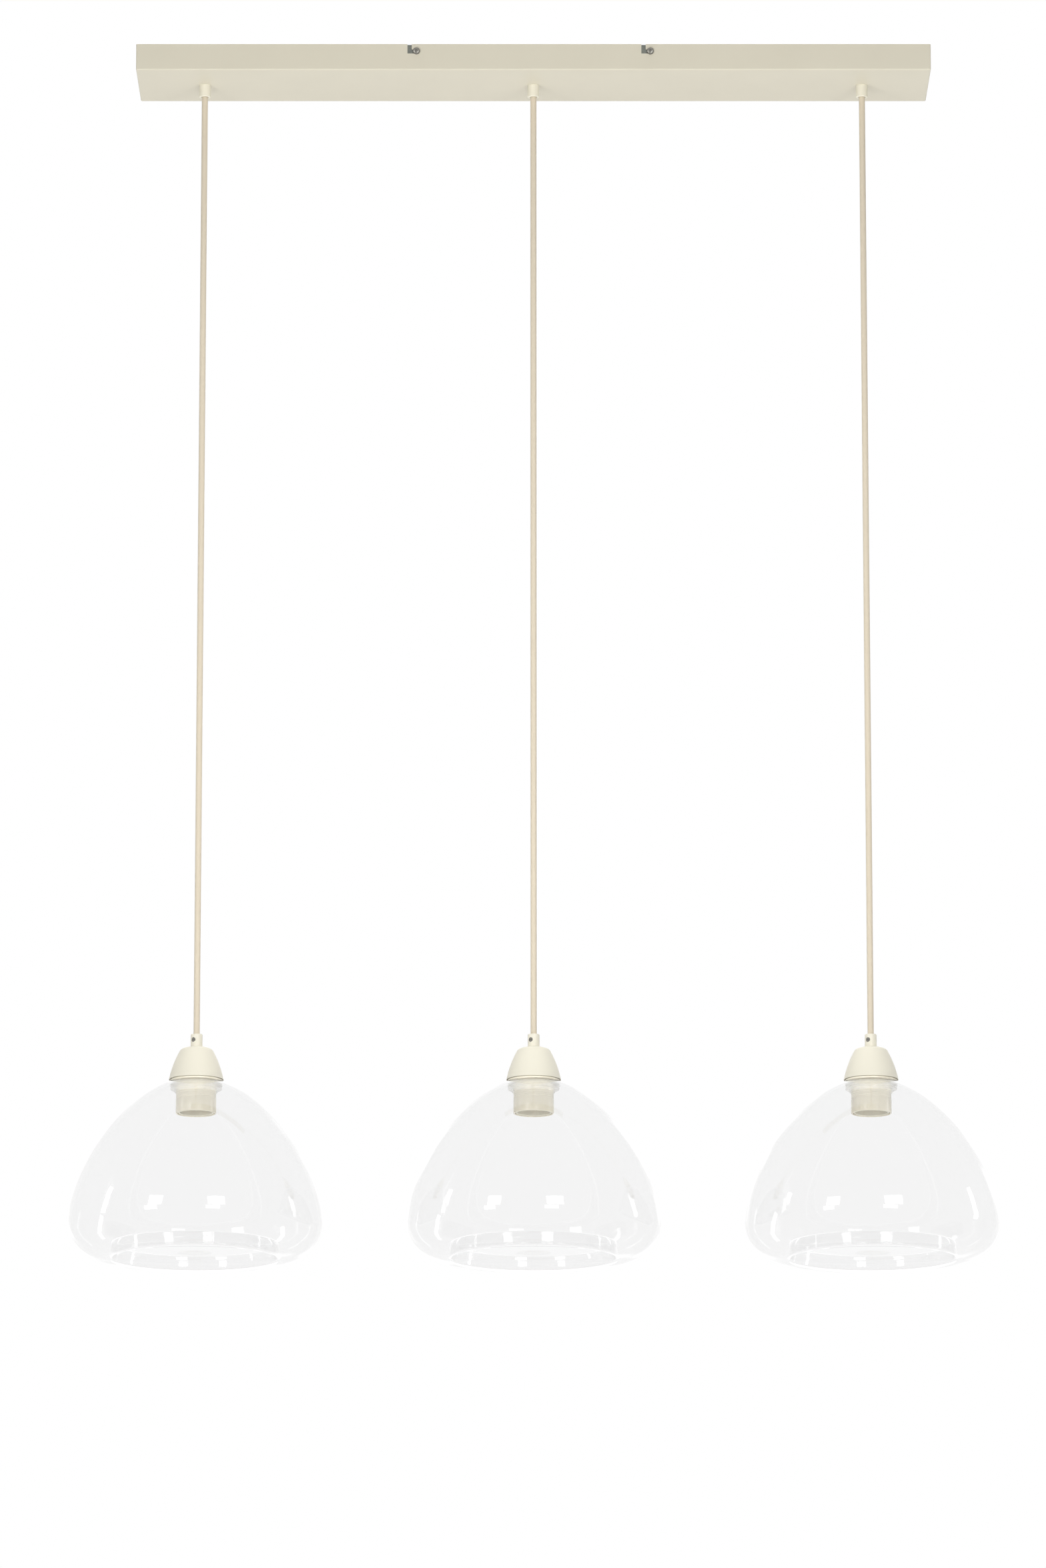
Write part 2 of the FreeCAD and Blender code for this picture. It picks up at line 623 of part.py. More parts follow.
def holder_sleeve():
    """The lampholder's lower sleeve, with a rounded mouth, up to the flange."""
    outer = SLEEVE_DIAMETER / 2
    inner = outer - SLEEVE_WALL
    edge = SLEEVE_EDGE
    corner = edge * (1 - math.sqrt(0.5))
    foot = SLEEVE_BOTTOM_Z
    edges = outline([(inner, foot), (inner, SEAT_Z), (outer, SEAT_Z), (outer, foot + edge)])
    start = (outer, foot + edge)
    middle = (outer - corner, foot + corner)
    end = (outer - edge, foot)
    edges.append(arc(start, middle, end))
    edges += outline([end, (inner, foot)])
    return turned(edges)


def insert_heights():
    """Top, floor, shell seat and mouth of the lampholder's insert."""
    top = SEAT_Z - INSERT_TOP_GAP
    bottom = SLEEVE_BOTTOM_Z + INSERT_RECESS
    return top, top - INSERT_FLOOR, bottom + INSERT_MOUTH_DEPTH + INSERT_TAPER, bottom


def socket_insert():
    """The white insert that holds the screw shell, wider at its mouth."""
    top, floor, step, bottom = insert_heights()
    outer = SLEEVE_DIAMETER / 2 - SLEEVE_WALL - INSERT_GAP
    bore = SHELL_BORE / 2 + SHELL_WALL + SHELL_CLEARANCE
    mouth = INSERT_MOUTH_DIAMETER / 2
    land = SLEEVE_DIAMETER / 2 - SLEEVE_WALL
    return turned_points([
        (0, top),
        (land - THREAD_CLEARANCE, top),
        (land - THREAD_CLEARANCE, top - INSERT_FLOOR / 2),
        (outer, top - INSERT_FLOOR / 2),
        (outer, bottom),
        (mouth, bottom),
        (mouth - INSERT_MOUTH_DRAFT, bottom + INSERT_MOUTH_DEPTH),
        (bore, step),
        (bore, floor),
        (0, floor),
    ])


def thread_shell():
    """The brass screw shell for the lamp's cap."""
    floor = insert_heights()[1]
    bore = SHELL_BORE / 2
    top = floor - SHELL_DROP
    return turned_points([
        (bore, top),
        (bore + SHELL_WALL, top),
        (bore + SHELL_WALL, top - SHELL_LENGTH),
        (bore, top - SHELL_LENGTH),
    ])


def socket_contacts():
    """The sprung centre contact under the insert's floor, and two terminal posts on its top."""
    top, floor = insert_heights()[:2]
    half = CONTACT_LENGTH / 2
    sheet = CONTACT_SHEET
    low = floor - CONTACT_DROP
    bend = -0.1 * half
    tip = 0.75 * half
    profile = [
        (-half, floor),
        (bend, floor),
        (tip, low),
        (tip, low - sheet),
        (bend - sheet / 2, floor - sheet),
        (-half, floor - sheet),
    ]
    corners = [Vector(x, -CONTACT_WIDTH / 2, z) for x, z in profile]
    strip = Part.Face(Part.makePolygon(corners + corners[:1])).extrude(Vector(0, CONTACT_WIDTH, 0))
    posts = []
    for x in (-POST_SPACING / 2, POST_SPACING / 2):
        low_corner = (x - POST_WIDTH / 2, -POST_LENGTH / 2, top)
        high_corner = (x + POST_WIDTH / 2, POST_LENGTH / 2, top + POST_HEIGHT)
        well_radius = CORE_DIAMETER / 2 + THREAD_CLEARANCE
        well = cylinder(well_radius, top + POST_WELL_FLOOR, top + POST_HEIGHT + 1, x)
        post = block(low_corner, high_corner)
        posts.append(post.cut(well))
    return [strip] + posts


def lamp_leads():
    """Two cores from the cord's end to the lampholder's terminal posts."""
    top = insert_heights()[0]
    start_z = CAP_TOP_Z - STUB_LENGTH - SHEATH_BELOW_STUB
    leads = []
    for side in (-1, 1):
        x0 = side * CORE_PITCH / 2
        x1 = side * POST_SPACING / 2
        route = [
            (x0, 0, start_z),
            (x0, 0, start_z - LEAD_DROP),
            (x1, 0, top + POST_HEIGHT + LEAD_LANDING),
            (x1, 0, top + POST_WELL_FLOOR + 2 * FLOOR_GAP),
        ]
        leads.append(lead(route, CORE_DIAMETER))
    return leads


def shade_ring():
    """The clamping ring: two grip ridges round its rim and a short collar below."""
    bore = SLEEVE_DIAMETER / 2 + RING_BORE_CLEARANCE
    rim = RING_DIAMETER / 2
    lower = RING_LOWER_DIAMETER / 2
    groove = lower - RING_GROOVE_DEPTH
    collar = RING_COLLAR_DIAMETER / 2
    z = RING_TOP_Z
    step = RING_RIDGE_HEIGHT
    body_bottom = z - 2 * step
    return turned_points([
        (bore, z),
        (rim - RING_EDGE, z),
        (rim, z - 0.5 * step),
        (groove, z - step),
        (lower, z - 1.5 * step),
        (lower - RING_EDGE, body_bottom),
        (collar, body_bottom),
        (collar, body_bottom - RING_COLLAR_HEIGHT),
        (bore, body_bottom - RING_COLLAR_HEIGHT),
    ])


def dome_point(rise, inset):
    """A point of the glass's dome, given its rise above the belly, moved in by inset along the normal."""
    share = rise / DOME_RISE
    radius = SHADE_DIAMETER / 2
    core = 1 - share**DOME_RISE_POWER
    r = radius * core**DOME_ROUND_POWER
    slope = 0.0
    if share > 0:
        slope = -radius * DOME_ROUND_POWER * core ** (DOME_ROUND_POWER - 1)
        slope *= DOME_RISE_POWER * share ** (DOME_RISE_POWER - 1) / DOME_RISE
    length = math.hypot(1, slope)
    return r - inset / length, BELLY_Z + rise + inset * slope / length


def under_point(angle, inset):
    """A point of the quarter ellipse from the belly, at 0 degrees, to the foot, at 90."""
    across = (SHADE_DIAMETER - FOOT_DIAMETER) / 2
    c = math.cos(math.radians(angle))
    s = math.sin(math.radians(angle))
    normal = Vector(c / across, 0, -s / BELLY_TO_FOOT)
    normal.normalize()
    r = FOOT_DIAMETER / 2 + across * c - inset * normal.x
    z = BELLY_Z - BELLY_TO_FOOT * s - inset * normal.z
    return r, z


def shade_side(inset):
    """The dome and the under-curve as one smooth run of points, from the seat to the foot."""
    seat = SEAT_DIAMETER / 2
    rises = [SEAT_TO_BELLY * share for share in DOME_RISE_SHARES]
    dome = [dome_point(rise, inset) for rise in rises]
    under = [under_point(angle, inset) for angle in UNDER_ANGLES]
    first = (seat - SEAT_TURN * inset, SEAT_Z - inset)
    return [first] + dome + under


def glass_shade():
    """Blown glass: a dome that widens to a belly, turns under and rolls up into an inner collar."""
    hole = SLEEVE_DIAMETER / 2 + SHADE_HOLE_CLEARANCE
    lean = math.radians(LIP_LEAN)
    centre = Vector(FOOT_DIAMETER / 2, 0, FOOT_Z + LIP_ROLL)
    rim_z = FOOT_Z + LIP_HEIGHT - GLASS_WALL / 2
    straight_z = rim_z - LIP_STRAIGHT

    def roll(radius):
        halfway = (math.pi / 2 + lean) / 2
        middle = centre - Vector(math.sin(halfway), 0, math.cos(halfway)) * radius
        end = centre - Vector(math.cos(lean), 0, math.sin(lean)) * radius
        return centre - Vector(0, 0, radius), middle, end

    outer = shade_side(0)
    inner = shade_side(GLASS_WALL)
    out_foot, out_middle, out_end = roll(LIP_ROLL)
    in_foot, in_middle, in_end = roll(LIP_ROLL - GLASS_WALL)
    mouth = out_end.x - (straight_z - out_end.z) * math.tan(lean)
    back = mouth + GLASS_WALL
    out_knee = Vector(mouth, 0, straight_z)
    in_knee = Vector(back, 0, in_end.z + (in_end.x - back) / math.tan(lean))
    out_rim = Vector(mouth, 0, rim_z)
    in_rim = Vector(back, 0, rim_z)
    rim_top = Vector((mouth + back) / 2, 0, rim_z + GLASS_WALL / 2)
    seat = Vector(outer[0][0], 0, outer[0][1])
    inner_seat = Vector(inner[0][0], 0, inner[0][1])
    hole_top = Vector(hole, 0, seat.z)
    hole_bottom = Vector(hole, 0, inner_seat.z)
    print("mouth radius", round(mouth, 4), "mm, straight from", round(straight_z, 3), "to", round(rim_z, 3))
    return turned([
        Part.makeLine(hole_top, seat),
        curve(outer),
        Part.Arc(out_foot, out_middle, out_end).toShape(),
        Part.makeLine(out_end, out_knee),
        Part.makeLine(out_knee, out_rim),
        Part.Arc(out_rim, rim_top, in_rim).toShape(),
        Part.makeLine(in_rim, in_knee),
        Part.makeLine(in_knee, in_end),
        Part.Arc(in_end, in_middle, in_foot).toShape(),
        curve(inner[::-1]),
        Part.makeLine(inner_seat, hole_bottom),
        Part.makeLine(hole_bottom, hole_top),
    ])


def save(name, shapes):
    """Writes one node: a single solid, or a group of separate solids."""
    if isinstance(shapes, list):
        shape = Part.makeCompound([s for shape in shapes for s in shape.Solids])
    else:
        shape = shapes
    solids = shape.Solids
    print(name, len(solids), "solid(s)", round(sum(s.Volume for s in solids)), "mm3", shape.isValid())
    shape.exportStep(f"parts/{name}.step")


def main():
    os.makedirs("parts", exist_ok=True)
    corners = [(x, side) for x in (-SCREW_SPACING / 2, SCREW_SPACING / 2) for side in (-1, 1)]
    lanes = (-1, 0, 1)
    save("canopy_tray", canopy_tray())
    save("ceiling_bracket", ceiling_bracket())
    save("canopy_screws", [canopy_screw(*c) for c in corners])
    save("bracket_nuts", [bracket_nut(*c) for c in corners])
    save("terminal_block", terminal_block())
    save("terminal_tubes", [terminal_tube(lane) for lane in lanes])
    save("terminal_screws", [terminal_screw(lane, side) for lane in lanes for side in (-1, 1)])
    save("earth_stud", earth_stud())
    save("brown_cores", cores(-1))
    save("earth_cores", cores(0) + [earth_link()])
    save("blue_cores", cores(1))
    save("grip_locknuts", [locknut(x) for x in PENDANTS.values()])
    save("cord_tails", [cord_tail(x) for x in PENDANTS.values()])
    upper_grub = grub_screw(-UPPER_GRUB_ANGLE)
    save("upper_grub_screws", [placed(upper_grub, x, PIVOT_Z, True) for x in PENDANTS.values()])

    upper_grip = grip(-UPPER_GRUB_ANGLE)
    lower_grip = grip(LOWER_GRUB_ANGLE)
    lower_grub = grub_screw(LOWER_GRUB_ANGLE)
    head = {
        "cap": cap(),
        "holder_dome": holder_dome(),
        "holder_sleeve": holder_sleeve(),
        "socket_insert": socket_insert(),
        "thread_shell": thread_shell(),
        "socket_contacts": Part.makeCompound(socket_contacts()),
        "lamp_leads": Part.makeCompound(lamp_leads()),
        "shade_ring": shade_ring(),
        "glass_shade": glass_shade(),
    }
    for name, x in PENDANTS.items():
        save(f"{name}_upper_grip", placed(upper_grip, x, PIVOT_Z, True))
        save(f"{name}_cord_neck", cord_neck(x))
        save(f"{name}_cord", cord(x))
        save(f"{name}_cord_end", cord_end(x))
        save(f"{name}_lower_grip", placed(lower_grip, x, LOWER_GRIP_Z))
        save(f"{name}_lower_grub_screw", placed(lower_grub, x, LOWER_GRIP_Z))
        for piece, shape in head.items():
            save(f"{name}_{piece}", placed(shape, x, 0))


main()
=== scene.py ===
# %% [markdown]
# # Linear island pendant
# A long, narrow canopy of cream powder-coated steel carries three pendants. Each hangs on a straight
# cord of beige woven fabric, which ends in a cream cord grip, a cone-shaped cap, a lampholder and a
# clear glass shade. The CAD model gives every place and size in metres. This script gives the parts
# their finishes, and makes again those whose curves have to be smoother than the CAD's facets.

# %% Load the frame
import json
import math

import bmesh
import bpy
from mathutils import Matrix, Vector


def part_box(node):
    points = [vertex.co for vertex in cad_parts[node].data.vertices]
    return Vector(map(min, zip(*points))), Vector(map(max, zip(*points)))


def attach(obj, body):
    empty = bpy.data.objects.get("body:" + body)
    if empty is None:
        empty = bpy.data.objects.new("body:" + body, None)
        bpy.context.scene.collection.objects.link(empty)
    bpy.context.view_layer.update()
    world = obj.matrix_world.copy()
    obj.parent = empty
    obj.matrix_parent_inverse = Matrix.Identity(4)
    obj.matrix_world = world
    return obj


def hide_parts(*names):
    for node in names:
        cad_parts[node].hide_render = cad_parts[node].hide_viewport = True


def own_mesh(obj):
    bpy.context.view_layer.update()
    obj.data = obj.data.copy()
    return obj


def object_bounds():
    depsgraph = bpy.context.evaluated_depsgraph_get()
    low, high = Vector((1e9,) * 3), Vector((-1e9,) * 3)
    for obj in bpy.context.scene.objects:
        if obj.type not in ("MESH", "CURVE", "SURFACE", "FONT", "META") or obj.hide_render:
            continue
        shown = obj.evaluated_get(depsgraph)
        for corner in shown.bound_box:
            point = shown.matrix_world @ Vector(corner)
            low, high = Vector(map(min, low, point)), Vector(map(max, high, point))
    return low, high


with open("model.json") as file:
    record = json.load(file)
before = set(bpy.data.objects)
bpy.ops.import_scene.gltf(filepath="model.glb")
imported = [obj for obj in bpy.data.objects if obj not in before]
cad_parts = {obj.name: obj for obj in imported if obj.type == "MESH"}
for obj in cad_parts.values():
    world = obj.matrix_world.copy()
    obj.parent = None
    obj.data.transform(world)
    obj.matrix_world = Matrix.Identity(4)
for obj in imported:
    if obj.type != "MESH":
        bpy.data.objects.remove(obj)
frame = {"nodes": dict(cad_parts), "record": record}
cad_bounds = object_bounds()
SIDES = ("left", "centre", "right")
MM = 0.001

# %% [markdown]
# Each pendant hangs under the middle of its cord's neck, so the places along the canopy are read
# from the frame, and nothing has to be measured twice.

# %% Where the pendants hang
pendant_x = {}
for side in SIDES:
    low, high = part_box(f"{side}_cord_neck")
    pendant_x[side] = (low.x + high.x) / 2
print({side: round(x, 4) for side, x in pendant_x.items()})

# %% [markdown]
# ## Small helpers
# Colours are written as the hex values that a paint maker would give. Blender's shaders want linear
# light, so one function turns the one into the other.

# %% Colours


def linear(hex_colour):
    """A linear RGBA colour from an sRGB hex value such as #f3eedd."""
    channels = [int(hex_colour[i:i + 2], 16) / 255 for i in (1, 3, 5)]
    return [c / 12.92 if c <= 0.04045 else ((c + 0.055) / 1.055) ** 2.4 for c in channels] + [1.0]


print("mid grey is", round(linear("#808080")[0], 3), "in linear light")

# %% [markdown]
# A material is a small machine of nodes. One function adds a node, sets its options and sockets and
# joins its inputs, so that each recipe below reads from the pattern to the surface.

# %% Nodes and materials


def add_node(tree, kind, settings=None, inputs=None):
    """Adds a node. An input is a plain value, or an output socket to link from."""
    node = tree.nodes.new(kind)
    for key, value in (settings or {}).items():
        setattr(node, key, value)
    for key, value in (inputs or {}).items():
        if isinstance(value, bpy.types.NodeSocket):
            tree.links.new(value, node.inputs[key])
        else:
            node.inputs[key].default_value = value
    return node


def new_material(name):
    """An empty material with its output node. Returns the material and its node tree."""
    material = bpy.data.materials.new(name)
    material.use_nodes = True
    material.node_tree.nodes.clear()
    return material, material.node_tree


def finish_surface(tree, inputs):
    """Ends a material with a Principled surface that has these inputs."""
    shader = add_node(tree, "ShaderNodeBsdfPrincipled", inputs=inputs)
    add_node(tree, "ShaderNodeOutputMaterial", inputs={"Surface": shader.outputs["BSDF"]})


def object_noise(tree, size, detail=2.0):
    """Noise whose features are about size metres across, in the object's own space."""
    place = add_node(tree, "ShaderNodeTexCoord")
    return add_node(
        tree,
        "ShaderNodeTexNoise",
        inputs={"Vector": place.outputs["Object"], "Scale": 1 / size, "Detail": detail},
    )


print("helpers are ready")

# %% [markdown]
# ## Finishes
# Powder coat is a thin plastic skin, melted onto steel. It is never quite flat: it has a fine orange
# peel about a millimetre across, a soft gloss, and a colour that drifts very slightly. Two noises do
# this, one coarse for the colour and one fine for the bump. The canopy gets a darker copy of the same
# coat, a shade deeper than that on the caps and grips: painted shade, so the canopy reads less lit than the
# lamps here leave it.

# %% Powder-coated steel


def powder_coat(name, light, dark):
    """Satin powder coat between two close shades."""
    material, tree = new_material(name)
    drift = object_noise(tree, 0.08)
    colour = add_node(
        tree,
        "ShaderNodeMix",
        {"data_type": "RGBA"},
        {"Factor": drift.outputs["Fac"], "A": linear(dark), "B": linear(light)},
    )
    peel = object_noise(tree, 0.9 * MM)
    bump = add_node(
        tree,
        "ShaderNodeBump",
        inputs={"Height": peel.outputs["Fac"], "Strength": 0.12, "Distance": 0.05 * MM},
    )
    finish_surface(tree, {
        "Base Color": colour.outputs["Result"],
        "Roughness": 0.42,
        "IOR": 1.5,
        "Normal": bump.outputs["Normal"],
    })
    return material


cream_paint = powder_coat("cream powder coat", "#ece8d7", "#e6e1d0")
# The darker copy for the canopy is painted shade.
shade_darkened_canopy_paint = powder_coat("cream powder coat, darkened as painted shade on the canopy", "#d8d2bf", "#d1cbb8")
print(cream_paint.name, "and", shade_darkened_canopy_paint.name)

# %% [markdown]
# The lampholder is moulded thermoplastic in the same cream. It is smoother than the paint and a
# little deeper in gloss. The recipe can let light under the skin, though every plastic here has none.

# %% Moulded plastics


def moulded(name, hex_colour, roughness, glow=0.0):
    """Moulded plastic with a faint unevenness of gloss."""
    material, tree = new_material(name)
    cloud = object_noise(tree, 6 * MM)
    gloss = add_node(
        tree,
        "ShaderNodeMapRange",
        inputs={"Value": cloud.outputs["Fac"], "To Min": roughness - 0.04, "To Max": roughness + 0.04},
    )
    finish_surface(tree, {
        "Base Color": linear(hex_colour),
        "Roughness": gloss.outputs["Result"],
        "IOR": 1.49,
        "Subsurface Weight": glow,
        "Subsurface Radius": (0.002, 0.002, 0.0015),
        "Subsurface Scale": 1.0,
    })
    return material


cream_plastic = moulded("cream thermoplastic", "#fbf4df", 0.25)
white_plastic = moulded("white heat-proof plastic", "#fdf9e6", 0.45)
white_nylon = moulded("white nylon", "#e4e3dc", 0.5)
brown_pvc = moulded("brown PVC", "#5a3420", 0.5)
blue_pvc = moulded("blue PVC", "#2f5fb0", 0.5)
print("plastics:", cream_plastic.name, white_plastic.name, white_nylon.name)

# %% [markdown]
# An earth core is green with a yellow stripe. A wave along the core's own length would need a map of
# its path, but the core runs mostly along X, so stripes across X read the same way.

# %% Earth core


def earth_pvc():
    """Green PVC with yellow bands 6 mm apart."""
    material, tree = new_material("green and yellow PVC")
    place = add_node(tree, "ShaderNodeTexCoord")
    bands = add_node(
        tree,
        "ShaderNodeTexWave",
        {"bands_direction": "DIAGONAL"},
        {"Vector": place.outputs["Object"], "Scale": 52.0},
    )
    step = add_node(tree, "ShaderNodeMath", {"operation": "GREATER_THAN"}, {0: bands.outputs["Fac"], 1: 0.6})
    colour = add_node(
        tree,
        "ShaderNodeMix",
        {"data_type": "RGBA"},
        {"Factor": step.outputs["Value"], "A": linear("#2e7d3a"), "B": linear("#e3cf2a")},
    )
    finish_surface(tree, {"Base Color": colour.outputs["Result"], "Roughness": 0.5})
    return material


green_yellow_pvc = earth_pvc()
print(green_yellow_pvc.name)

# %% [markdown]
# Metals differ in colour, roughness and in how they were worked. The bracket is zinc-coated sheet
# with cloudy crystals, drawn darker than such sheet is: painted shade, since it shows mostly in the shadow
# behind the canopy's slots. The screws are nickel plated and bright, and the contacts are bare brass.

# %% Metals


def metal(name, light, dark, roughness, grain, relief):
    """A metal between two shades, with a grain of that size in metres."""
    material, tree = new_material(name)
    cloud = object_noise(tree, grain, 3.0)
    colour = add_node(
        tree,
        "ShaderNodeMix",
        {"data_type": "RGBA"},
        {"Factor": cloud.outputs["Fac"], "A": linear(dark), "B": linear(light)},
    )
    bump = add_node(
        tree,
        "ShaderNodeBump",
        inputs={"Height": cloud.outputs["Fac"], "Strength": 0.2, "Distance": relief},
    )
    finish_surface(tree, {
        "Base Color": colour.outputs["Result"],
        "Metallic": 1.0,
        "Roughness": roughness,
        "Normal": bump.outputs["Normal"],
    })
    return material


# The zinc is darker than real zinc-coated sheet: painted shade for the bracket inside the canopy.
zinc = metal("zinc sheet darkened as painted shade", "#7e817b", "#5f615b", 0.4, 2 * MM, 0.02 * MM)
nickel = metal("nickel plate", "#c6c4bf", "#a9a7a2", 0.25, 1.5 * MM, 0.01 * MM)
screw_steel = metal("dull screw steel", "#94928b", "#74726c", 0.24, 1.5 * MM, 0.02 * MM)
brass = metal("bare brass", "#d9b870", "#c09a52", 0.3, 2 * MM, 0.01 * MM)
print("metals:", zinc.name, nickel.name, screw_steel.name, brass.name)

# %% [markdown]
# The cord's cover is a braid of fine yarns. Two families of yarn wind round the cord in opposite
# directions and pass over and under each other. On the cord's own map, U runs once round and V runs
# along in metres. A slanted sine for each family, multiplied, gives the small lozenges of the braid;
# it drives the colour, darker in the gaps as painted shade between the yarns, and the bump. The real yarns
# are too fine to show at this distance, so they are drawn about twice as coarse: lozenges 1.3 mm wide and 2
# mm long.

# %% Woven fabric
YARNS_ROUND = 8
BRAID_PITCH = 8 * MM


def braid():
    """Beige braid with YARNS_ROUND yarns each way and a repeat of BRAID_PITCH."""
    material, tree = new_material("beige braided fabric")
    place = add_node(tree, "ShaderNodeUVMap", {"uv_map": "around and along"})
    parts = add_node(tree, "ShaderNodeSeparateXYZ", inputs={"Vector": place.outputs["UV"]})
    per_turn = math.tau * YARNS_ROUND
    per_metre = per_turn / (4 * BRAID_PITCH)
    turns = add_node(tree, "ShaderNodeMath", {"operation": "MULTIPLY"}, {0: parts.outputs["X"], 1: per_turn})
    along = add_node(tree, "ShaderNodeMath", {"operation": "MULTIPLY"}, {0: parts.outputs["Y"], 1: per_metre})
    waves = []
    for operation in ("ADD", "SUBTRACT"):
        slant = add_node(
            tree,
            "ShaderNodeMath",
            {"operation": operation},
            {0: turns.outputs["Value"], 1: along.outputs["Value"]},
        )
        wave = add_node(tree, "ShaderNodeMath", {"operation": "SINE"}, {0: slant.outputs["Value"]})
        ridge = add_node(tree, "ShaderNodeMath", {"operation": "ABSOLUTE"}, {0: wave.outputs["Value"]})
        waves.append(ridge.outputs["Value"])
    yarn = add_node(tree, "ShaderNodeMath", {"operation": "MULTIPLY"}, {0: waves[0], 1: waves[1]})
    fuzz = object_noise(tree, 0.5 * MM)
    height = add_node(
        tree,
        "ShaderNodeMath",
        {"operation": "MULTIPLY_ADD"},
        {0: fuzz.outputs["Fac"], 1: 0.35, 2: yarn.outputs["Value"]},
    )
    # Painted shade: the gaps between the yarns take the darker colour.
    colour = add_node(
        tree,
        "ShaderNodeMix",
        {"data_type": "RGBA"},
        {"Factor": yarn.outputs["Value"], "A": linear("#cdc0a8"), "B": linear("#efe5d2")},
    )
    bump = add_node(
        tree,
        "ShaderNodeBump",
        inputs={"Height": height.outputs["Value"], "Strength": 0.5, "Distance": 0.2 * MM},
    )
    finish_surface(tree, {
        "Base Color": colour.outputs["Result"],
        "Roughness": 0.85,
        "Sheen Weight": 0.25,
        "Sheen Roughness": 0.4,
        "Normal": bump.outputs["Normal"],
    })
    return material


cord_fabric = braid()
print(cord_fabric.name, "with", YARNS_ROUND, "yarns each way")

# %% [markdown]
# Clear blown glass has an index of about 1.5 and no roughness. What makes it read as glass is its
# wall: light bends going in and again coming out, most at the rim, where the wall is seen edge on.
# So the shade below has a real wall, with the faintest wave in the surface that blowing leaves.
# Some light is caught in the rolled foot and mirrored many times. In a white room it would come out
# pale in the end, dimmed a little by each bounce, so the path is ended early: the glass there shows a painted
# glow of light grey, where the renderer would end it in black.
# The ring is a clear plastic that has gone milky, so the cream sleeve shines through it.

# %% Glass and clear plastic


def blown_glass():
    """Clear glass with slow waves in its surface, and a painted light-grey glow where paths are caught."""
    material, tree = new_material("clear blown glass")
    wave = object_noise(tree, 0.06, 1.0)
    bump = add_node(
        tree,
        "ShaderNodeBump",
        inputs={"Height": wave.outputs["Fac"], "Strength": 0.25, "Distance": 1.0 * MM},
    )
    path = add_node(tree, "ShaderNodeLightPath")
    mirrored = add_node(
        tree,
        "ShaderNodeMath",
        {"operation": "GREATER_THAN"},
        {0: path.outputs["Glossy Depth"], 1: 2.5},
    )
    bounced = add_node(
        tree,
        "ShaderNodeMath",
        {"operation": "GREATER_THAN"},
        {0: path.outputs["Ray Depth"], 1: 9.5},
    )
    caught = add_node(
        tree,
        "ShaderNodeMath",
        {"operation": "MAXIMUM"},
        {0: mirrored.outputs["Value"], 1: bounced.outputs["Value"]},
    )
    seen = add_node(
        tree,
        "ShaderNodeMath",
        {"operation": "LESS_THAN"},
        {0: path.outputs["Diffuse Depth"], 1: 0.5},
    )
    # Painted glow: where a path is caught and has met no matt surface, the glass glows light grey, and its
    # colour turns black beneath the glow.
    glow = add_node(
        tree,
        "ShaderNodeMath",
        {"operation": "MULTIPLY"},
        {0: caught.outputs["Value"], 1: seen.outputs["Value"]},
    )
    tint = add_node(
        tree,
        "ShaderNodeMix",
        {"data_type": "RGBA"},
        {"Factor": caught.outputs["Value"], "A": linear("#f9f9f9"), "B": linear("#000000")},
    )
    material.cycles.emission_sampling = "NONE"
    finish_surface(tree, {
        "Base Color": tint.outputs["Result"],
        "Emission Color": linear("#b8b8b8"),
        "Emission Strength": glow.outputs["Value"],
        "Roughness": 0.0,
        "IOR": 1.5,
        "Transmission Weight": 1.0,
        "Normal": bump.outputs["Normal"],
    })
    return material


def milky_plastic():
    """Translucent plastic that scatters light as it passes."""
    material, tree = new_material("translucent plastic")
    cloud = object_noise(tree, 3 * MM)
    gloss = add_node(
        tree,
        "ShaderNodeMapRange",
        inputs={"Value": cloud.outputs["Fac"], "To Min": 0.16, "To Max": 0.28},
    )
    finish_surface(tree, {
        "Base Color": linear("#fffdf5"),
        "Roughness": gloss.outputs["Result"],
        "IOR": 1.46,
        "Transmission Weight": 0.25,
        "Alpha": 0.45,
    })
    return material


shade_glass = blown_glass()
ring_plastic = milky_plastic()
print(shade_glass.name, "and", ring_plastic.name)

# %% [markdown]
# ## Finishes on the CAD parts
# The record says which finish each part has. Parts whose shape is right keep their CAD mesh, and
# only their material slot changes.

# %% Dress the CAD parts
finishes = {
    "cream_paint": cream_paint,
    "galvanised_steel": zinc,
    "plated_screw": nickel,
    "brass": brass,
    "cord_fabric": cord_fabric,
    "brown_pvc": brown_pvc,
    "blue_pvc": blue_pvc,
    "green_yellow_pvc": green_yellow_pvc,
    "white_nylon": white_nylon,
    "white_plastic": white_plastic,
    "cream_plastic": cream_plastic,
    "clear_plastic": ring_plastic,
    "shade_glass": shade_glass,
}
slot_of = {part["node"]: part["material_slot"] for part in frame["record"]["subparts"]}
for name, node in frame["nodes"].items():
    node.data.materials.clear()
    # The canopy takes the darker copy of the coat, painted shade; grub screws take dull steel.
    own = shade_darkened_canopy_paint if name == "canopy_tray" else screw_steel if "grub_screw" in name else None
    node.data.materials.append(own or finishes[slot_of[name]])
print("dressed", len(frame["nodes"]), "parts")

# %% [markdown]
# ## Turned shapes
# Cap, lampholder, ring and shade are all round about the cord. On the real object they are spun,
# moulded or blown in a round form. Here each is an outline of its wall in the XZ plane, turned once
# round by bmesh's spin. Corners that should stay crisp are marked sharp by angle.

# %% Spin
STEPS = 128


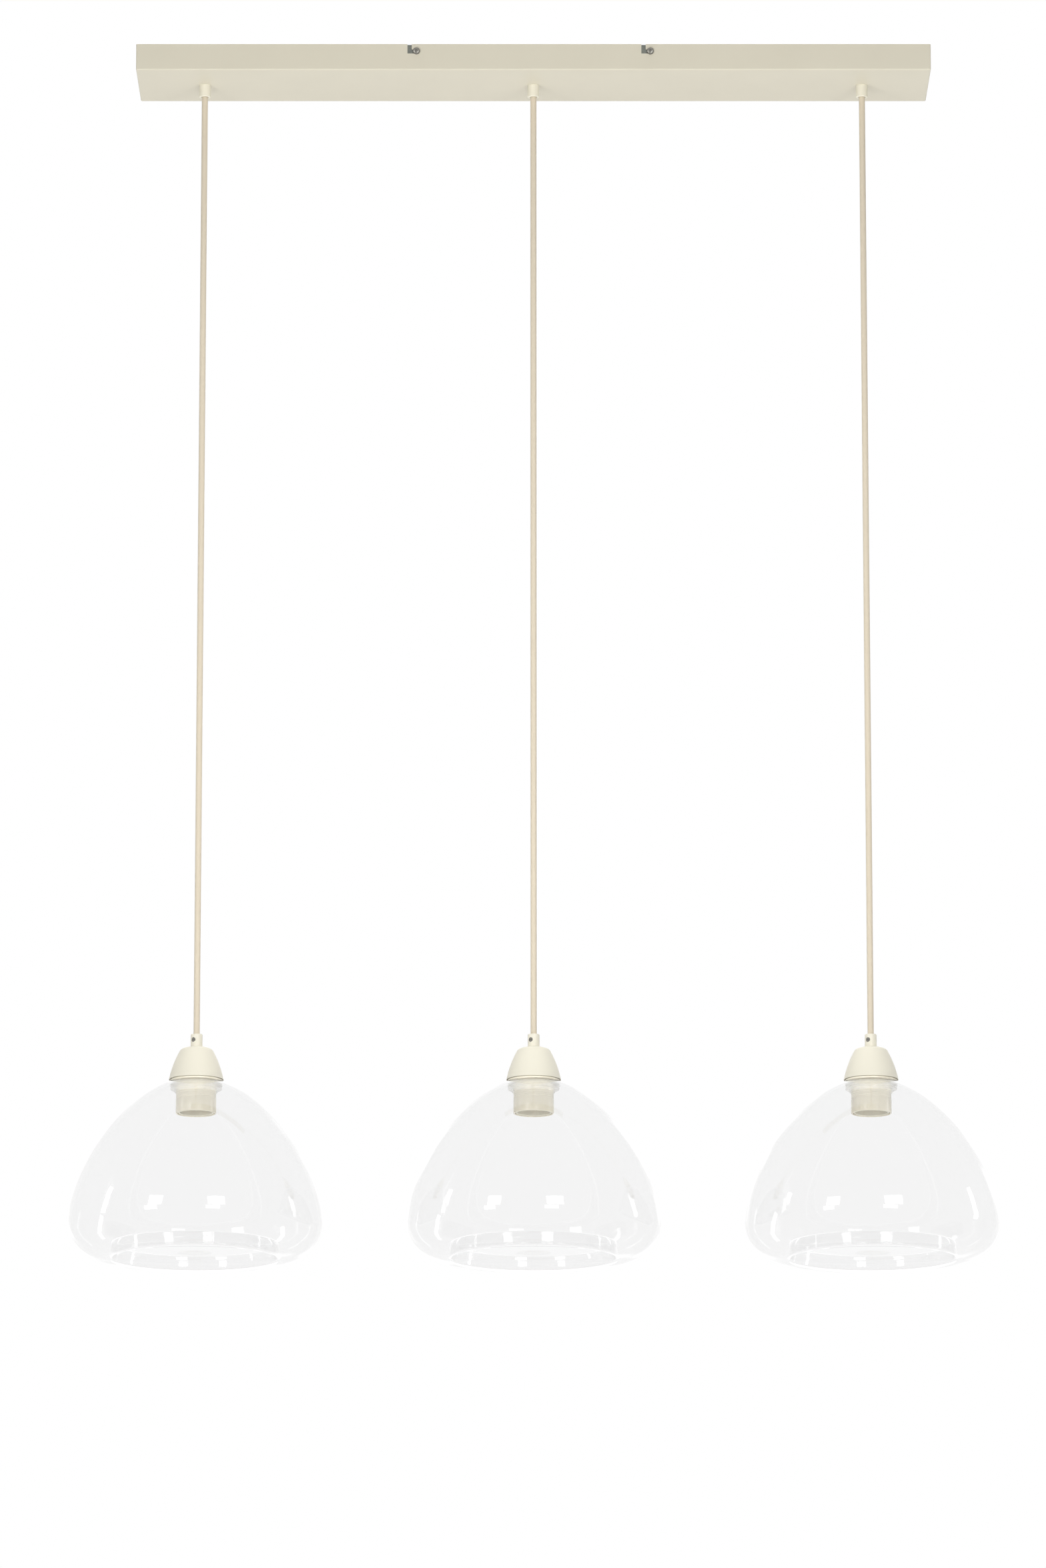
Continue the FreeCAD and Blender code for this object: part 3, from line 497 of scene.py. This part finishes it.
def spun(name, outline, side, body, node, material, sharp_degrees=35):
    """Spins a closed outline of (radius, height) points about one pendant's axis."""
    x = pendant_x[side]
    shape = bmesh.new()
    corners = [shape.verts.new((x + r, 0, z)) for r, z in outline]
    loop = [shape.edges.new(pair) for pair in zip(corners, corners[1:] + corners[:1])]
    bmesh.ops.spin(
        shape, geom=corners + loop, cent=(x, 0, 0), axis=(0, 0, 1), dvec=(0, 0, 0),
        angle=math.tau, steps=STEPS, use_merge=True, use_duplicate=False,
    )
    bmesh.ops.remove_doubles(shape, verts=shape.verts, dist=1e-6)
    bmesh.ops.recalc_face_normals(shape, faces=shape.faces)
    return place_piece(shape, f"{side}_{name}", body, [node], material, sharp_degrees)


def place_piece(shape, name, body, nodes, material, sharp_degrees=35):
    """Turns a bmesh into a piece that rides on a body and stands for CAD nodes."""
    mesh = bpy.data.meshes.new(name)
    shape.to_mesh(mesh)
    shape.free()
    mesh.shade_smooth()
    mesh.set_sharp_from_angle(angle=math.radians(sharp_degrees))
    mesh.materials.append(material)
    piece = bpy.data.objects.new(name, mesh)
    bpy.context.scene.collection.objects.link(piece)
    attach(piece, body)
    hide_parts(*nodes)
    return piece


def arc(centre, radius, start, end, count):
    """Points on an arc; angles in degrees, 0 outwards from the axis and 90 up."""
    angles = [math.radians(start + (end - start) * i / count) for i in range(count + 1)]
    return [(centre[0] + radius * math.cos(a), centre[1] + radius * math.sin(a)) for a in angles]


print("spin uses", STEPS, "steps")

# %% [markdown]
# ## Glass shades
# The shade is blown in a mould: an egg-shaped dome that widens to a belly, turns under in a quarter
# ellipse, and rolls up at its foot into an inner collar with a fire-polished rim. A formula gives
# the dome, so it has no flat spots, and the inner surface is the same curve moved in by the wall.

# %% Shade outline
WALL = 2.5 * MM
ROLL = 3.5 * MM
SEAT_RADIUS = 30 * MM
HOLE_RADIUS = 22.6 * MM
FOOT_RADIUS = 93 * MM
BELLY_DROP = 156 * MM
DOME_RISE = 162 * MM
DOME_POWERS = (1.55, 0.55)
DOME_TOP = 0.985
ARC_STEP = 3
COLLAR_LEAN = 10
COLLAR_HEIGHT = 17.7 * MM
COLLAR_STRAIGHT = 6 * MM


def dome(rise, inset, belly_radius, belly_z):
    """A point of the dome at a height above the belly, moved in along the normal."""
    flat, blunt = DOME_POWERS
    share = rise / DOME_RISE
    core = 1 - share**flat
    slope = 0
    if share:
        slope = -belly_radius * blunt * core ** (blunt - 1) * flat * share ** (flat - 1) / DOME_RISE
    length = math.hypot(1, slope)
    return belly_radius * core**blunt - inset / length, belly_z + rise + inset * slope / length


def under(degrees, inset, belly_radius, belly_z, foot_z):
    """A point of the quarter ellipse between the belly, 0 degrees, and the foot, 90."""
    across = belly_radius - FOOT_RADIUS
    down = belly_z - foot_z
    c, s = math.cos(math.radians(degrees)), math.sin(math.radians(degrees))
    length = math.hypot(c / across, s / down)
    radius = FOOT_RADIUS + across * c - inset * c / across / length
    return radius, belly_z - down * s + inset * s / down / length


def shade_outline(belly_radius, seat_z, foot_z):
    """The closed outline of the glass's wall."""
    belly_z = seat_z - BELLY_DROP
    sides = []
    for inset in (0, WALL):
        rises = [DOME_TOP * BELLY_DROP * math.cos(math.radians(a)) ** 0.8 for a in range(0, 90, ARC_STEP)]
        side = [
            (HOLE_RADIUS, seat_z - inset),
            (SEAT_RADIUS - 2 * MM - 0.35 * inset, seat_z - inset),
            (SEAT_RADIUS + 1.2 * MM - 0.5 * inset, seat_z - 0.35 * MM - inset),
        ]
        side += [dome(rise, inset, belly_radius, belly_z) for rise in rises]
        side += [under(a, inset, belly_radius, belly_z, foot_z) for a in range(0, 90, ARC_STEP)]
        sides.append(side)
    centre = (FOOT_RADIUS, foot_z + ROLL)
    outer_roll = arc(centre, ROLL, 270, 180 + COLLAR_LEAN, 10)
    inner_roll = arc(centre, ROLL - WALL, 180 + COLLAR_LEAN, 270, 6)
    rim_z = foot_z + COLLAR_HEIGHT - WALL / 2
    knee_z = rim_z - COLLAR_STRAIGHT
    tangent = math.tan(math.radians(COLLAR_LEAN))
    mouth = outer_roll[-1][0] - (knee_z - outer_roll[-1][1]) * tangent
    back_knee_z = inner_roll[0][1] + (inner_roll[0][0] - mouth - WALL) / tangent
    rim = arc((mouth + WALL / 2, rim_z), WALL / 2, 180, 0, 10)
    collar = [(mouth, knee_z)] + rim + [(mouth + WALL, back_knee_z)]
    return sides[0] + outer_roll + collar + inner_roll + sides[1][::-1]


shades = {}
for side in SIDES:
    low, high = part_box(f"{side}_glass_shade")
    outline = shade_outline((high.x - low.x) / 2, high.z, low.z)
    shades[side] = spun("shade", outline, side, f"{side}_lamp", f"{side}_glass_shade", shade_glass, 60)
    # Light reaches the lampholder through the glass as it would through clear air.
    shades[side].visible_shadow = False
print("each shade has", len(shades["left"].data.polygons), "faces")

# %% [markdown]
# ## Caps
# The cap is spun from steel sheet over a former, so its top is slightly domed, its shoulder is
# rounded, its side bows out a little and its rim shows the sheet's thickness.

# %% Caps
CAP_SHEET = 1 * MM
CAP_SHOULDER = (17.6 * MM, -3.2 * MM)
CAP_HOLE = 5.2 * MM
GRIP_RADIUS = 6.5 * MM


def bowed(start, end, bulge, count):
    """Points on an arc between two (radius, height) points, bowed out from the axis by bulge."""
    run, rise = end[0] - start[0], end[1] - start[1]
    length = math.hypot(run, rise)
    points = []
    for i in range(count + 1):
        t = i / count
        out = 4 * bulge * t * (1 - t)
        points.append((start[0] + run * t - rise / length * out, start[1] + rise * t + run / length * out))
    return points


def rounded(points, corner, radius, count=5):
    """The same points with the corner at this index cut back by radius and rounded."""
    here = Vector(points[corner])
    before = Vector(points[corner - 1]) - here
    after = Vector(points[corner + 1]) - here
    start = here + before.normalized() * min(radius, 0.8 * before.length)
    end = here + after.normalized() * min(radius, 0.8 * after.length)
    arc_points = []
    for i in range(count + 1):
        t = i / count
        arc_points.append(tuple(start * (1 - t) ** 2 + here * 2 * t * (1 - t) + end * t**2))
    return points[:corner] + arc_points + points[corner + 1:]


for side in SIDES:
    low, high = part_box(f"{side}_cap")
    rim = ((high.x - low.x) / 2, low.z)
    shoulder = (CAP_SHOULDER[0], high.z + CAP_SHOULDER[1])
    outer = [(CAP_HOLE, high.z)] + bowed((GRIP_RADIUS, high.z), shoulder, 0.5 * MM, 4)
    corner = len(outer) - 1
    outer = rounded(outer + bowed(shoulder, rim, 1.4 * MM, 14)[1:], corner, 1.9 * MM)
    inner_shoulder = (shoulder[0] - 1.2 * CAP_SHEET, shoulder[1] - 0.7 * CAP_SHEET)
    inner_rim = (rim[0] - CAP_SHEET, rim[1])
    under_top = high.z - CAP_SHEET
    inner = [(CAP_HOLE, under_top)] + bowed((GRIP_RADIUS, under_top), inner_shoulder, 0.4 * MM, 4)
    inner += bowed(inner_shoulder, inner_rim, 1.4 * MM, 14)[1:]
    spun("cap_shell", outer + inner[::-1], side, f"{side}_lamp", f"{side}_cap", cream_paint)
print("caps are", round(2000 * rim[0], 1), "mm wide at the rim")

# %% [markdown]
# ## Lampholder domes
# The upper half of the lampholder hides under the cap. Only its flange shows from below, resting on
# the glass. It nearly fills the cap's rim, so it is drawn a little wider than the CAD's, and its
# upper edge is bevelled: the shadow over the bevel draws the thin dark line that closes off the
# cap's rim in the photograph.

# %% Lampholder domes
DOME_HOLE = 5.2 * MM
DOME_BOSS = 7.25 * MM
DOME_RADIUS = 20 * MM
DOME_BEND = 6 * MM
DOME_BEND_DROP = 17 * MM
DOME_SHELL = 2 * MM
FLANGE_FILLS = 0.7 * MM
for side in SIDES:
    low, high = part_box(f"{side}_holder_dome")
    flange_top = low.z + 3 * MM
    flange_edge = (high.x - low.x) / 2 + FLANGE_FILLS
    bend = (DOME_RADIUS - DOME_BEND, high.z - DOME_BEND_DROP)
    outer = [(DOME_HOLE, high.z), (DOME_BOSS, high.z), (DOME_BOSS, high.z - 5.5 * MM)]
    outer += arc(bend, DOME_BEND, 80, 10, 7)
    outer += [(DOME_RADIUS, flange_top), (flange_edge - 1.2 * MM, flange_top)]
    outer += [(flange_edge, low.z + 2.1 * MM), (flange_edge, low.z)]
    inner = [(DOME_RADIUS - DOME_SHELL, low.z)]
    inner += arc(bend, DOME_BEND - DOME_SHELL, 10, 80, 7)
    inner += [(DOME_HOLE, high.z - 10 * MM)]
    spun("dome", outer + inner, side, f"{side}_lamp", f"{side}_holder_dome", cream_plastic)
print("flanges are", round(2000 * flange_edge, 1), "mm wide")

# %% [markdown]
# ## Lampholder sleeve and insert
# The sleeve is a moulded tube with a rounded mouth. The thread that the shade ring climbs is cut
# shallow in its upper part, and a few of its turns show under the ring; plain grooves stand for them.
# Inside sits the white insert, a little smaller, so a thin dark ring shows between the two. Its mouth
# is a short tube that keeps the brass shell out of sight, and the shade in it deepens upwards.

# %% Sleeves
THREAD_FROM = 12.4 * MM
THREAD_PITCH = 1.9 * MM
THREAD_TURNS = 4
THREAD_DEPTH = 0.35 * MM
GROOVE = ((0, 0), (0.35, 1), (0.65, 1), (0.95, 0))
SLEEVE_WALL = 1.7 * MM
for side in SIDES:
    low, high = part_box(f"{side}_holder_sleeve")
    outer = (high.x - low.x) / 2
    inner = outer - SLEEVE_WALL
    edge = 0.8 * MM
    outline = [(inner, high.z), (outer, high.z)]
    for turn in range(THREAD_TURNS):
        crest = high.z - THREAD_FROM - turn * THREAD_PITCH
        for share, depth in GROOVE:
            outline.append((outer - depth * THREAD_DEPTH, crest - share * THREAD_PITCH))
    outline += arc((outer - edge, low.z + edge), edge, 0, -90, 6)
    outline += arc((inner + 0.3 * MM, low.z + 0.3 * MM), 0.3 * MM, -90, -180, 3)
    spun("sleeve", outline, side, f"{side}_lamp", f"{side}_holder_sleeve", cream_plastic)
print("sleeves are", round(2000 * outer, 1), "mm wide")

# %% Inserts
MOUTH_RADIUS = 17.75 * MM
MOUTH_DEPTH = 9 * MM
INSERT_FLOOR = 7 * MM
RIVET_HOLE = 0.6 * MM
for side in SIDES:
    low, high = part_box(f"{side}_socket_insert")
    shell_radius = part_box(f"{side}_thread_shell")[1].x - pendant_x[side]
    bore = shell_radius + 0.2 * MM
    floor_z = high.z - INSERT_FLOOR
    plate = (high.x - low.x) / 2
    outer = plate - 0.85 * MM
    edge = 0.4 * MM
    outline = [(RIVET_HOLE, high.z), (plate, high.z), (plate, high.z - 3.5 * MM), (outer, high.z - 3.5 * MM)]
    outline += arc((outer - edge, low.z + edge), edge, 0, -90, 3)
    outline += arc((MOUTH_RADIUS + edge, low.z + edge), edge, -90, -180, 3)
    outline += [(MOUTH_RADIUS - 0.5 * MM, low.z + MOUTH_DEPTH), (bore, low.z + MOUTH_DEPTH)]
    outline += [(bore, floor_z), (RIVET_HOLE, floor_z)]
    spun("insert", outline, side, f"{side}_lamp", f"{side}_socket_insert", white_plastic)
print("insert mouths are", round(2000 * MOUTH_RADIUS, 1), "mm wide")

# %% [markdown]
# ## Shade rings
# The ring screws up the sleeve and clamps the glass from below. Its flat top ends in the first of
# two thin ridges for the fingers, and a short collar closes it below. Its plastic is milky, so the
# cream sleeve glows through. The outline is a list of radius and drop from the ring's top, in
# millimetres.

# %% Shade rings
RING_OUTLINE = [
    (22.35, 0), (28.4, 0), (29.1, 0.25), (29.3, 0.7), (29.1, 1.3), (28.3, 2.0), (27.4, 2.6),
    (27.2, 3.2), (27.8, 3.9), (28.5, 4.5), (28.6, 5.0), (28.2, 5.5), (24.6, 5.9),
    (23.75, 6.3), (23.75, 8.9), (22.35, 8.9),
]
for side in SIDES:
    low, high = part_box(f"{side}_shade_ring")
    outline = [(r * MM, high.z - drop * MM) for r, drop in RING_OUTLINE]
    ring = spun("ring", outline, side, f"{side}_lamp", f"{side}_shade_ring", ring_plastic, 50)
    ring.visible_shadow = False
print("rings are", round(2 * max(r for r, drop in RING_OUTLINE), 1), "mm wide")

# %% [markdown]
# ## Cords
# Each cord hangs straight, held tight by the lamp. Its line is a NURBS curve with a few points down
# the photograph's straight run. A ring of vertices is extruded from point to point along it, and the
# map for the braid is written on the way: once round in U, metres along in V.

# %% Cord line
CORD_DIAMETER = 6.8 * MM
CORD_SIDES = 24


def cord_line(name, points):
    """The points of a smooth open NURBS line through these control points."""
    curve = bpy.data.curves.new(name, "CURVE")
    curve.dimensions = "3D"
    spline = curve.splines.new("NURBS")
    spline.points.add(len(points) - 1)
    for target, point in zip(spline.points, points):
        target.co = (*point, 1)
    spline.order_u = 3
    spline.use_endpoint_u = True
    spline.resolution_u = 12
    line = bpy.data.objects.new(name, curve)
    bpy.context.scene.collection.objects.link(line)
    bpy.context.view_layer.update()
    mesh = bpy.data.meshes.new_from_object(line)
    path = [vertex.co.copy() for vertex in mesh.vertices]
    bpy.data.objects.remove(line)
    bpy.data.curves.remove(curve)
    bpy.data.meshes.remove(mesh)
    return path


def cord_tube(path):
    """A tube of CORD_DIAMETER down a straight path, with the braid's map."""
    shape = bmesh.new()
    around_and_along = shape.loops.layers.uv.new("around and along")
    start = Matrix.Translation(path[0])
    bmesh.ops.create_circle(shape, cap_ends=True, segments=CORD_SIDES, radius=CORD_DIAMETER / 2, matrix=start)
    ends = list(shape.faces)
    for here, there in zip(path, path[1:]):
        grown = bmesh.ops.extrude_face_region(shape, geom=ends)
        moved = [item for item in grown["geom"] if isinstance(item, bmesh.types.BMVert)]
        bmesh.ops.translate(shape, verts=moved, vec=there - here)
        if here is not path[0]:
            bmesh.ops.delete(shape, geom=ends, context="FACES_ONLY")
        ends = [item for item in grown["geom"] if isinstance(item, bmesh.types.BMFace)]
    bmesh.ops.recalc_face_normals(shape, faces=shape.faces)
    centre = path[0]
    for face in shape.faces:
        angles = [math.atan2(l.vert.co.y - centre.y, l.vert.co.x - centre.x) / math.tau for l in face.loops]
        wraps = max(angles) - min(angles) > 0.5
        for loop, angle in zip(face.loops, angles):
            loop[around_and_along].uv = (angle + 1 if wraps and angle < 0 else angle, loop.vert.co.z)
    return shape


# %% Cords on their pendants
POINTS_DOWN = (0, 0.12, 0.35, 0.65, 0.88, 1)
END_GAP = 0.1 * MM
for side in SIDES:
    x = pendant_x[side]
    neck_low, neck_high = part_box(f"{side}_cord_neck")
    pivot = Vector((x, 0, (neck_low.z + neck_high.z) / 2))
    end_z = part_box(f"{side}_cord")[0].z + END_GAP
    control = [(x, 0, pivot.z + (end_z - pivot.z) * t) for t in POINTS_DOWN]
    path = cord_line(f"{side}_cord_line", control)
    cord = place_piece(cord_tube(path), f"{side}_cord_cover", f"{side}_cord", [f"{side}_cord"], cord_fabric)
    # The glass would mirror the cord as a thin line on the lampholder. The photograph has no such line.
    cord.visible_glossy = False
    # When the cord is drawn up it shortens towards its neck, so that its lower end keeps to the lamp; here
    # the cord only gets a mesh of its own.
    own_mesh(cord)

# %% [markdown]
# ## Canopy screws
# The canopy hooks over four M4 screws with pan heads and cross recesses. Only the two in front show
# in the photograph, small and bright against the grey of the bracket. A recess is cut with a Boolean,
# because it goes into the crown of the head.

# %% Where the screws are
low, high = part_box("canopy_screws")
HEAD_RADIUS = 4 * MM
HEAD_HEIGHT = 2.4 * MM
SCREW_Z = (low.z + high.z) / 2
screw_x = high.x - HEAD_RADIUS
wall_y = high.y - HEAD_HEIGHT
print("screws at x", round(screw_x, 3), "y", round(wall_y, 3), "z", round(SCREW_Z, 4))


def screw_places():
    """For each screw, the point on the wall's outer face, the way out and the turn from Z to it."""
    for x in (-screw_x, screw_x):
        for out in (-1, 1):
            turn = Matrix.Rotation(-out * math.pi / 2, 4, "X")
            yield Vector((x, out * wall_y, SCREW_Z)), Vector((0, out, 0)), turn


def join(whole, part):
    """Adds one bmesh to another and frees it."""
    mesh = bpy.data.meshes.new("part")
    part.to_mesh(mesh)
    part.free()
    whole.from_mesh(mesh)
    bpy.data.meshes.remove(mesh)


# %% Pan heads
CROWN = [(4.0, 0.0), (4.0, 0.9), (3.7, 1.55), (3.0, 2.05), (2.0, 2.35), (1.0, 2.4), (0.0, 2.4)]
SHANK = [(0.0, -10.0), (1.7, -10.0), (2.0, -9.7), (2.0, 0.0)]
screws = bmesh.new()
for place, out, turn in screw_places():
    head = bmesh.new()
    points = [head.verts.new((r * MM, 0, h * MM)) for r, h in SHANK + CROWN]
    edges = [head.edges.new(pair) for pair in zip(points, points[1:])]
    bmesh.ops.spin(
        head, geom=points + edges, cent=(0, 0, 0), axis=(0, 0, 1), dvec=(0, 0, 0),
        angle=math.tau, steps=32, use_merge=True,
    )
    bmesh.ops.remove_doubles(head, verts=head.verts, dist=1e-6)
    bmesh.ops.recalc_face_normals(head, faces=head.faces)
    bmesh.ops.transform(head, matrix=Matrix.Translation(place) @ turn, verts=head.verts)
    join(screws, head)
canopy_screws = place_piece(screws, "canopy_screw_set", "canopy", ["canopy_screws"], screw_steel)
print("screw set has", len(canopy_screws.data.polygons), "faces before the recesses")

# %% Cross recesses
RECESS_WIDTH = 0.9 * MM
RECESS_LENGTH = 4.4 * MM
RECESS_DEPTH = 2.4 * MM
RECESS_TURNS = (20, 110)


def recess_arm():
    """A wedge-shaped bar for one arm of a cross recess, pointing along -Z."""
    shape = bmesh.new()
    bmesh.ops.create_cube(shape, size=1.0)
    bmesh.ops.scale(shape, vec=(RECESS_LENGTH, RECESS_WIDTH, RECESS_DEPTH), verts=shape.verts)
    bottom = [v for v in shape.verts if v.co.z < 0]
    bmesh.ops.scale(shape, vec=(0.45, 0.7, 1), verts=bottom)
    return shape


arms = bmesh.new()
for place, out, turn in screw_places():
    for degrees in RECESS_TURNS:
        arm = recess_arm()
        round_axis = Matrix.Rotation(math.radians(degrees), 4, "Z")
        to_head = Matrix.Translation(place + out * HEAD_HEIGHT) @ turn @ round_axis
        bmesh.ops.transform(arm, matrix=to_head, verts=arm.verts)
        join(arms, arm)
mesh = bpy.data.meshes.new("recess_arms")
arms.to_mesh(mesh)
arms.free()
recesses = bpy.data.objects.new("recess_arms", mesh)
bpy.context.scene.collection.objects.link(recesses)
cut = canopy_screws.modifiers.new("recess", "BOOLEAN")
cut.operation = "DIFFERENCE"
cut.solver = "EXACT"
cut.use_self = True
cut.object = recesses
bpy.context.view_layer.update()
evaluated = canopy_screws.evaluated_get(bpy.context.evaluated_depsgraph_get())
recessed = bpy.data.meshes.new_from_object(evaluated)
canopy_screws.modifiers.clear()
canopy_screws.data = recessed
bpy.data.objects.remove(recesses)
print("screw set has", len(recessed.polygons), "faces")

# %% [markdown]
# ## Studio
# The object hangs in a white studio: a pale floor far below it, and a white surround that camera,
# mirror and glass rays see at full white. Diffuse light comes from a softer surround and from large
# soft lamps, which the camera doesn't see.

# %% Floor and surround
FLOOR_Z = cad_bounds[0][2] - 1.55
WHITE = linear("#ffffff")
PALE = linear("#f6f6f6")


def white_to_eye(tree):
    """1 for rays that the eye follows: straight, mirrored or through glass, off no matt surface."""
    path = add_node(tree, "ShaderNodeLightPath")
    mirrored = add_node(
        tree,
        "ShaderNodeMath",
        {"operation": "MAXIMUM"},
        {0: path.outputs["Is Camera Ray"], 1: path.outputs["Is Glossy Ray"]},
    )
    seen = add_node(
        tree,
        "ShaderNodeMath",
        {"operation": "MAXIMUM"},
        {0: mirrored.outputs["Value"], 1: path.outputs["Is Transmission Ray"]},
    )
    matt = add_node(
        tree,
        "ShaderNodeMath",
        {"operation": "LESS_THAN"},
        {0: path.outputs["Diffuse Depth"], 1: 0.5},
    )
    eye = add_node(
        tree,
        "ShaderNodeMath",
        {"operation": "MULTIPLY"},
        {0: seen.outputs["Value"], 1: matt.outputs["Value"]},
    )
    return eye.outputs["Value"]


floor_material, tree = new_material("pale studio floor")
pale = add_node(tree, "ShaderNodeBsdfPrincipled", inputs={"Base Color": PALE, "Roughness": 0.9})
bright = add_node(tree, "ShaderNodeEmission", inputs={"Color": WHITE, "Strength": 1.0})
mix = add_node(
    tree,
    "ShaderNodeMixShader",
    inputs={"Fac": white_to_eye(tree), 1: pale.outputs["BSDF"], 2: bright.outputs["Emission"]},
)
add_node(tree, "ShaderNodeOutputMaterial", inputs={"Surface": mix.outputs["Shader"]})
sheet = bmesh.new()
place = Matrix.Translation((0, 0, FLOOR_Z))
bmesh.ops.create_grid(sheet, x_segments=1, y_segments=1, size=30.0, matrix=place)
mesh = bpy.data.meshes.new("studio_floor")
sheet.to_mesh(mesh)
sheet.free()
mesh.materials.append(floor_material)
floor = bpy.data.objects.new("studio_floor", mesh)
bpy.context.scene.collection.objects.link(floor)

world = bpy.data.worlds.new("white surround")
bpy.context.scene.world = world
world.use_nodes = True
tree = world.node_tree
tree.nodes.clear()
ambient = add_node(tree, "ShaderNodeBackground", inputs={"Color": PALE, "Strength": 0.39})
white = add_node(tree, "ShaderNodeBackground", inputs={"Color": WHITE, "Strength": 1.0})
mix = add_node(
    tree,
    "ShaderNodeMixShader",
    inputs={"Fac": white_to_eye(tree), 1: ambient.outputs["Background"], 2: white.outputs["Background"]},
)
add_node(tree, "ShaderNodeOutputWorld", inputs={"Surface": mix.outputs["Shader"]})
print("floor at", round(FLOOR_Z, 2), "m")

# %% [markdown]
# Four window-shaped softboxes stand in front, two to the left and two to the right, one above the
# other. The belly of each shade mirrors them as small bright windows. They stand 9 m away, so that
# all three shades mirror them at nearly the same place. Two tall strips at the sides draw the long
# streaks on the glass. All of these are mirrored only. The light on matt surfaces comes from seven
# other lamps: a wide one overhead, which also lights the floor, a wide one in front for the cords,
# two small ones beside it, whose light throws the two short shadows behind each upper cord grip, a
# weak one at the height of the lampholders, one low down for the undersides, and one behind, so that
# the far side isn't left dull.

# %% Lamps
SHADE_CENTRE = Vector((0, 0, -1.3))
CORD_TOP = Vector((0, 0, -0.3))
CORD_MIDDLE = Vector((0, 0, -0.8))


def soft_lamp(name, azimuth, elevation, distance, width, height, radiance, aim, mirrored):
    """A rectangular lamp aimed at a point. Azimuth 0 is the front, positive to the right."""
    a, e = math.radians(azimuth), math.radians(elevation)
    away = Vector((math.sin(a) * math.cos(e), -math.cos(a) * math.cos(e), math.sin(e)))
    light = bpy.data.lights.new(name, "AREA")
    light.shape = "RECTANGLE"
    light.size = width
    light.size_y = height
    light.energy = radiance * math.pi * width * height
    lamp = bpy.data.objects.new(name, light)
    bpy.context.scene.collection.objects.link(lamp)
    lamp.location = aim + away * distance
    lamp.rotation_euler = away.to_track_quat("Z", "Y").to_euler()
    lamp.visible_camera = False
    lamp.visible_diffuse = not mirrored
    lamp.visible_glossy = mirrored
    lamp.visible_transmission = mirrored


MIRRORED_LAMPS = [
    ("left upper window", -36.5, 14, 9.0, 1.9, 2.6, 4),
    ("left lower window", -40, -9, 9.0, 1.7, 3.8, 4),
    ("right upper window", 19.5, 14, 9.0, 2.4, 2.6, 4),
    ("right lower window", 16, -9, 9.0, 2.0, 3.4, 4),
    ("left strip", -88, 12, 6.0, 0.5, 3.2, 5),
    ("right strip", 104, 8, 6.0, 0.5, 3.6, 5),
]
MATT_LAMPS = [
    ("overhead lamp", 180, 78, 4.5, 5.0, 4.0, 2.4, SHADE_CENTRE),
    ("fill lamp", -4, -5, 1.2, 1.4, 0.4, 1.2, SHADE_CENTRE),
    ("left cord lamp", -38, -24, 2.2, 0.4, 0.4, 15, CORD_TOP),
    ("right cord lamp", 34, -24, 2.2, 0.4, 0.4, 15, CORD_TOP),
    ("cord lamp", -4, -14, 1.5, 1.8, 0.8, 1.9, CORD_TOP),
    ("low lamp", -4, -70, 1.5, 2.8, 1.6, 1.2, SHADE_CENTRE),
    ("rear fill lamp", 176, 24, 2.2, 2.4, 0.5, 4.0, CORD_MIDDLE),
]
for values in MIRRORED_LAMPS:
    soft_lamp(*values, SHADE_CENTRE, mirrored=True)
for values in MATT_LAMPS:
    soft_lamp(*values, mirrored=False)

# %% [markdown]
# ## Camera
# The photograph looks up at the lamp from far away: the pendants show their mouths, and the canopy
# its underside. A long lens 8.6 m away, pitched up by 12.3 degrees, puts each part where it is in
# the picture, with no shift.

# %% Camera
PICTURE_HEIGHT = 2351
FOCAL_PIXELS = 12000
PITCH_UP = math.radians(12.29)
camera_data = bpy.data.cameras.new("camera")
camera_data.sensor_width = 36
camera_data.lens = FOCAL_PIXELS / PICTURE_HEIGHT * camera_data.sensor_width
camera_data.clip_end = 100
camera = bpy.data.objects.new("camera", camera_data)
camera.location = (-0.0117, -8.646, -2.719)
camera.rotation_euler = (math.pi / 2 + PITCH_UP, 0, 0)
bpy.context.scene.collection.objects.link(camera)
bpy.context.scene.camera = camera
bpy.context.scene.view_settings.view_transform = "Standard"
print("lens", round(camera_data.lens, 2), "mm")
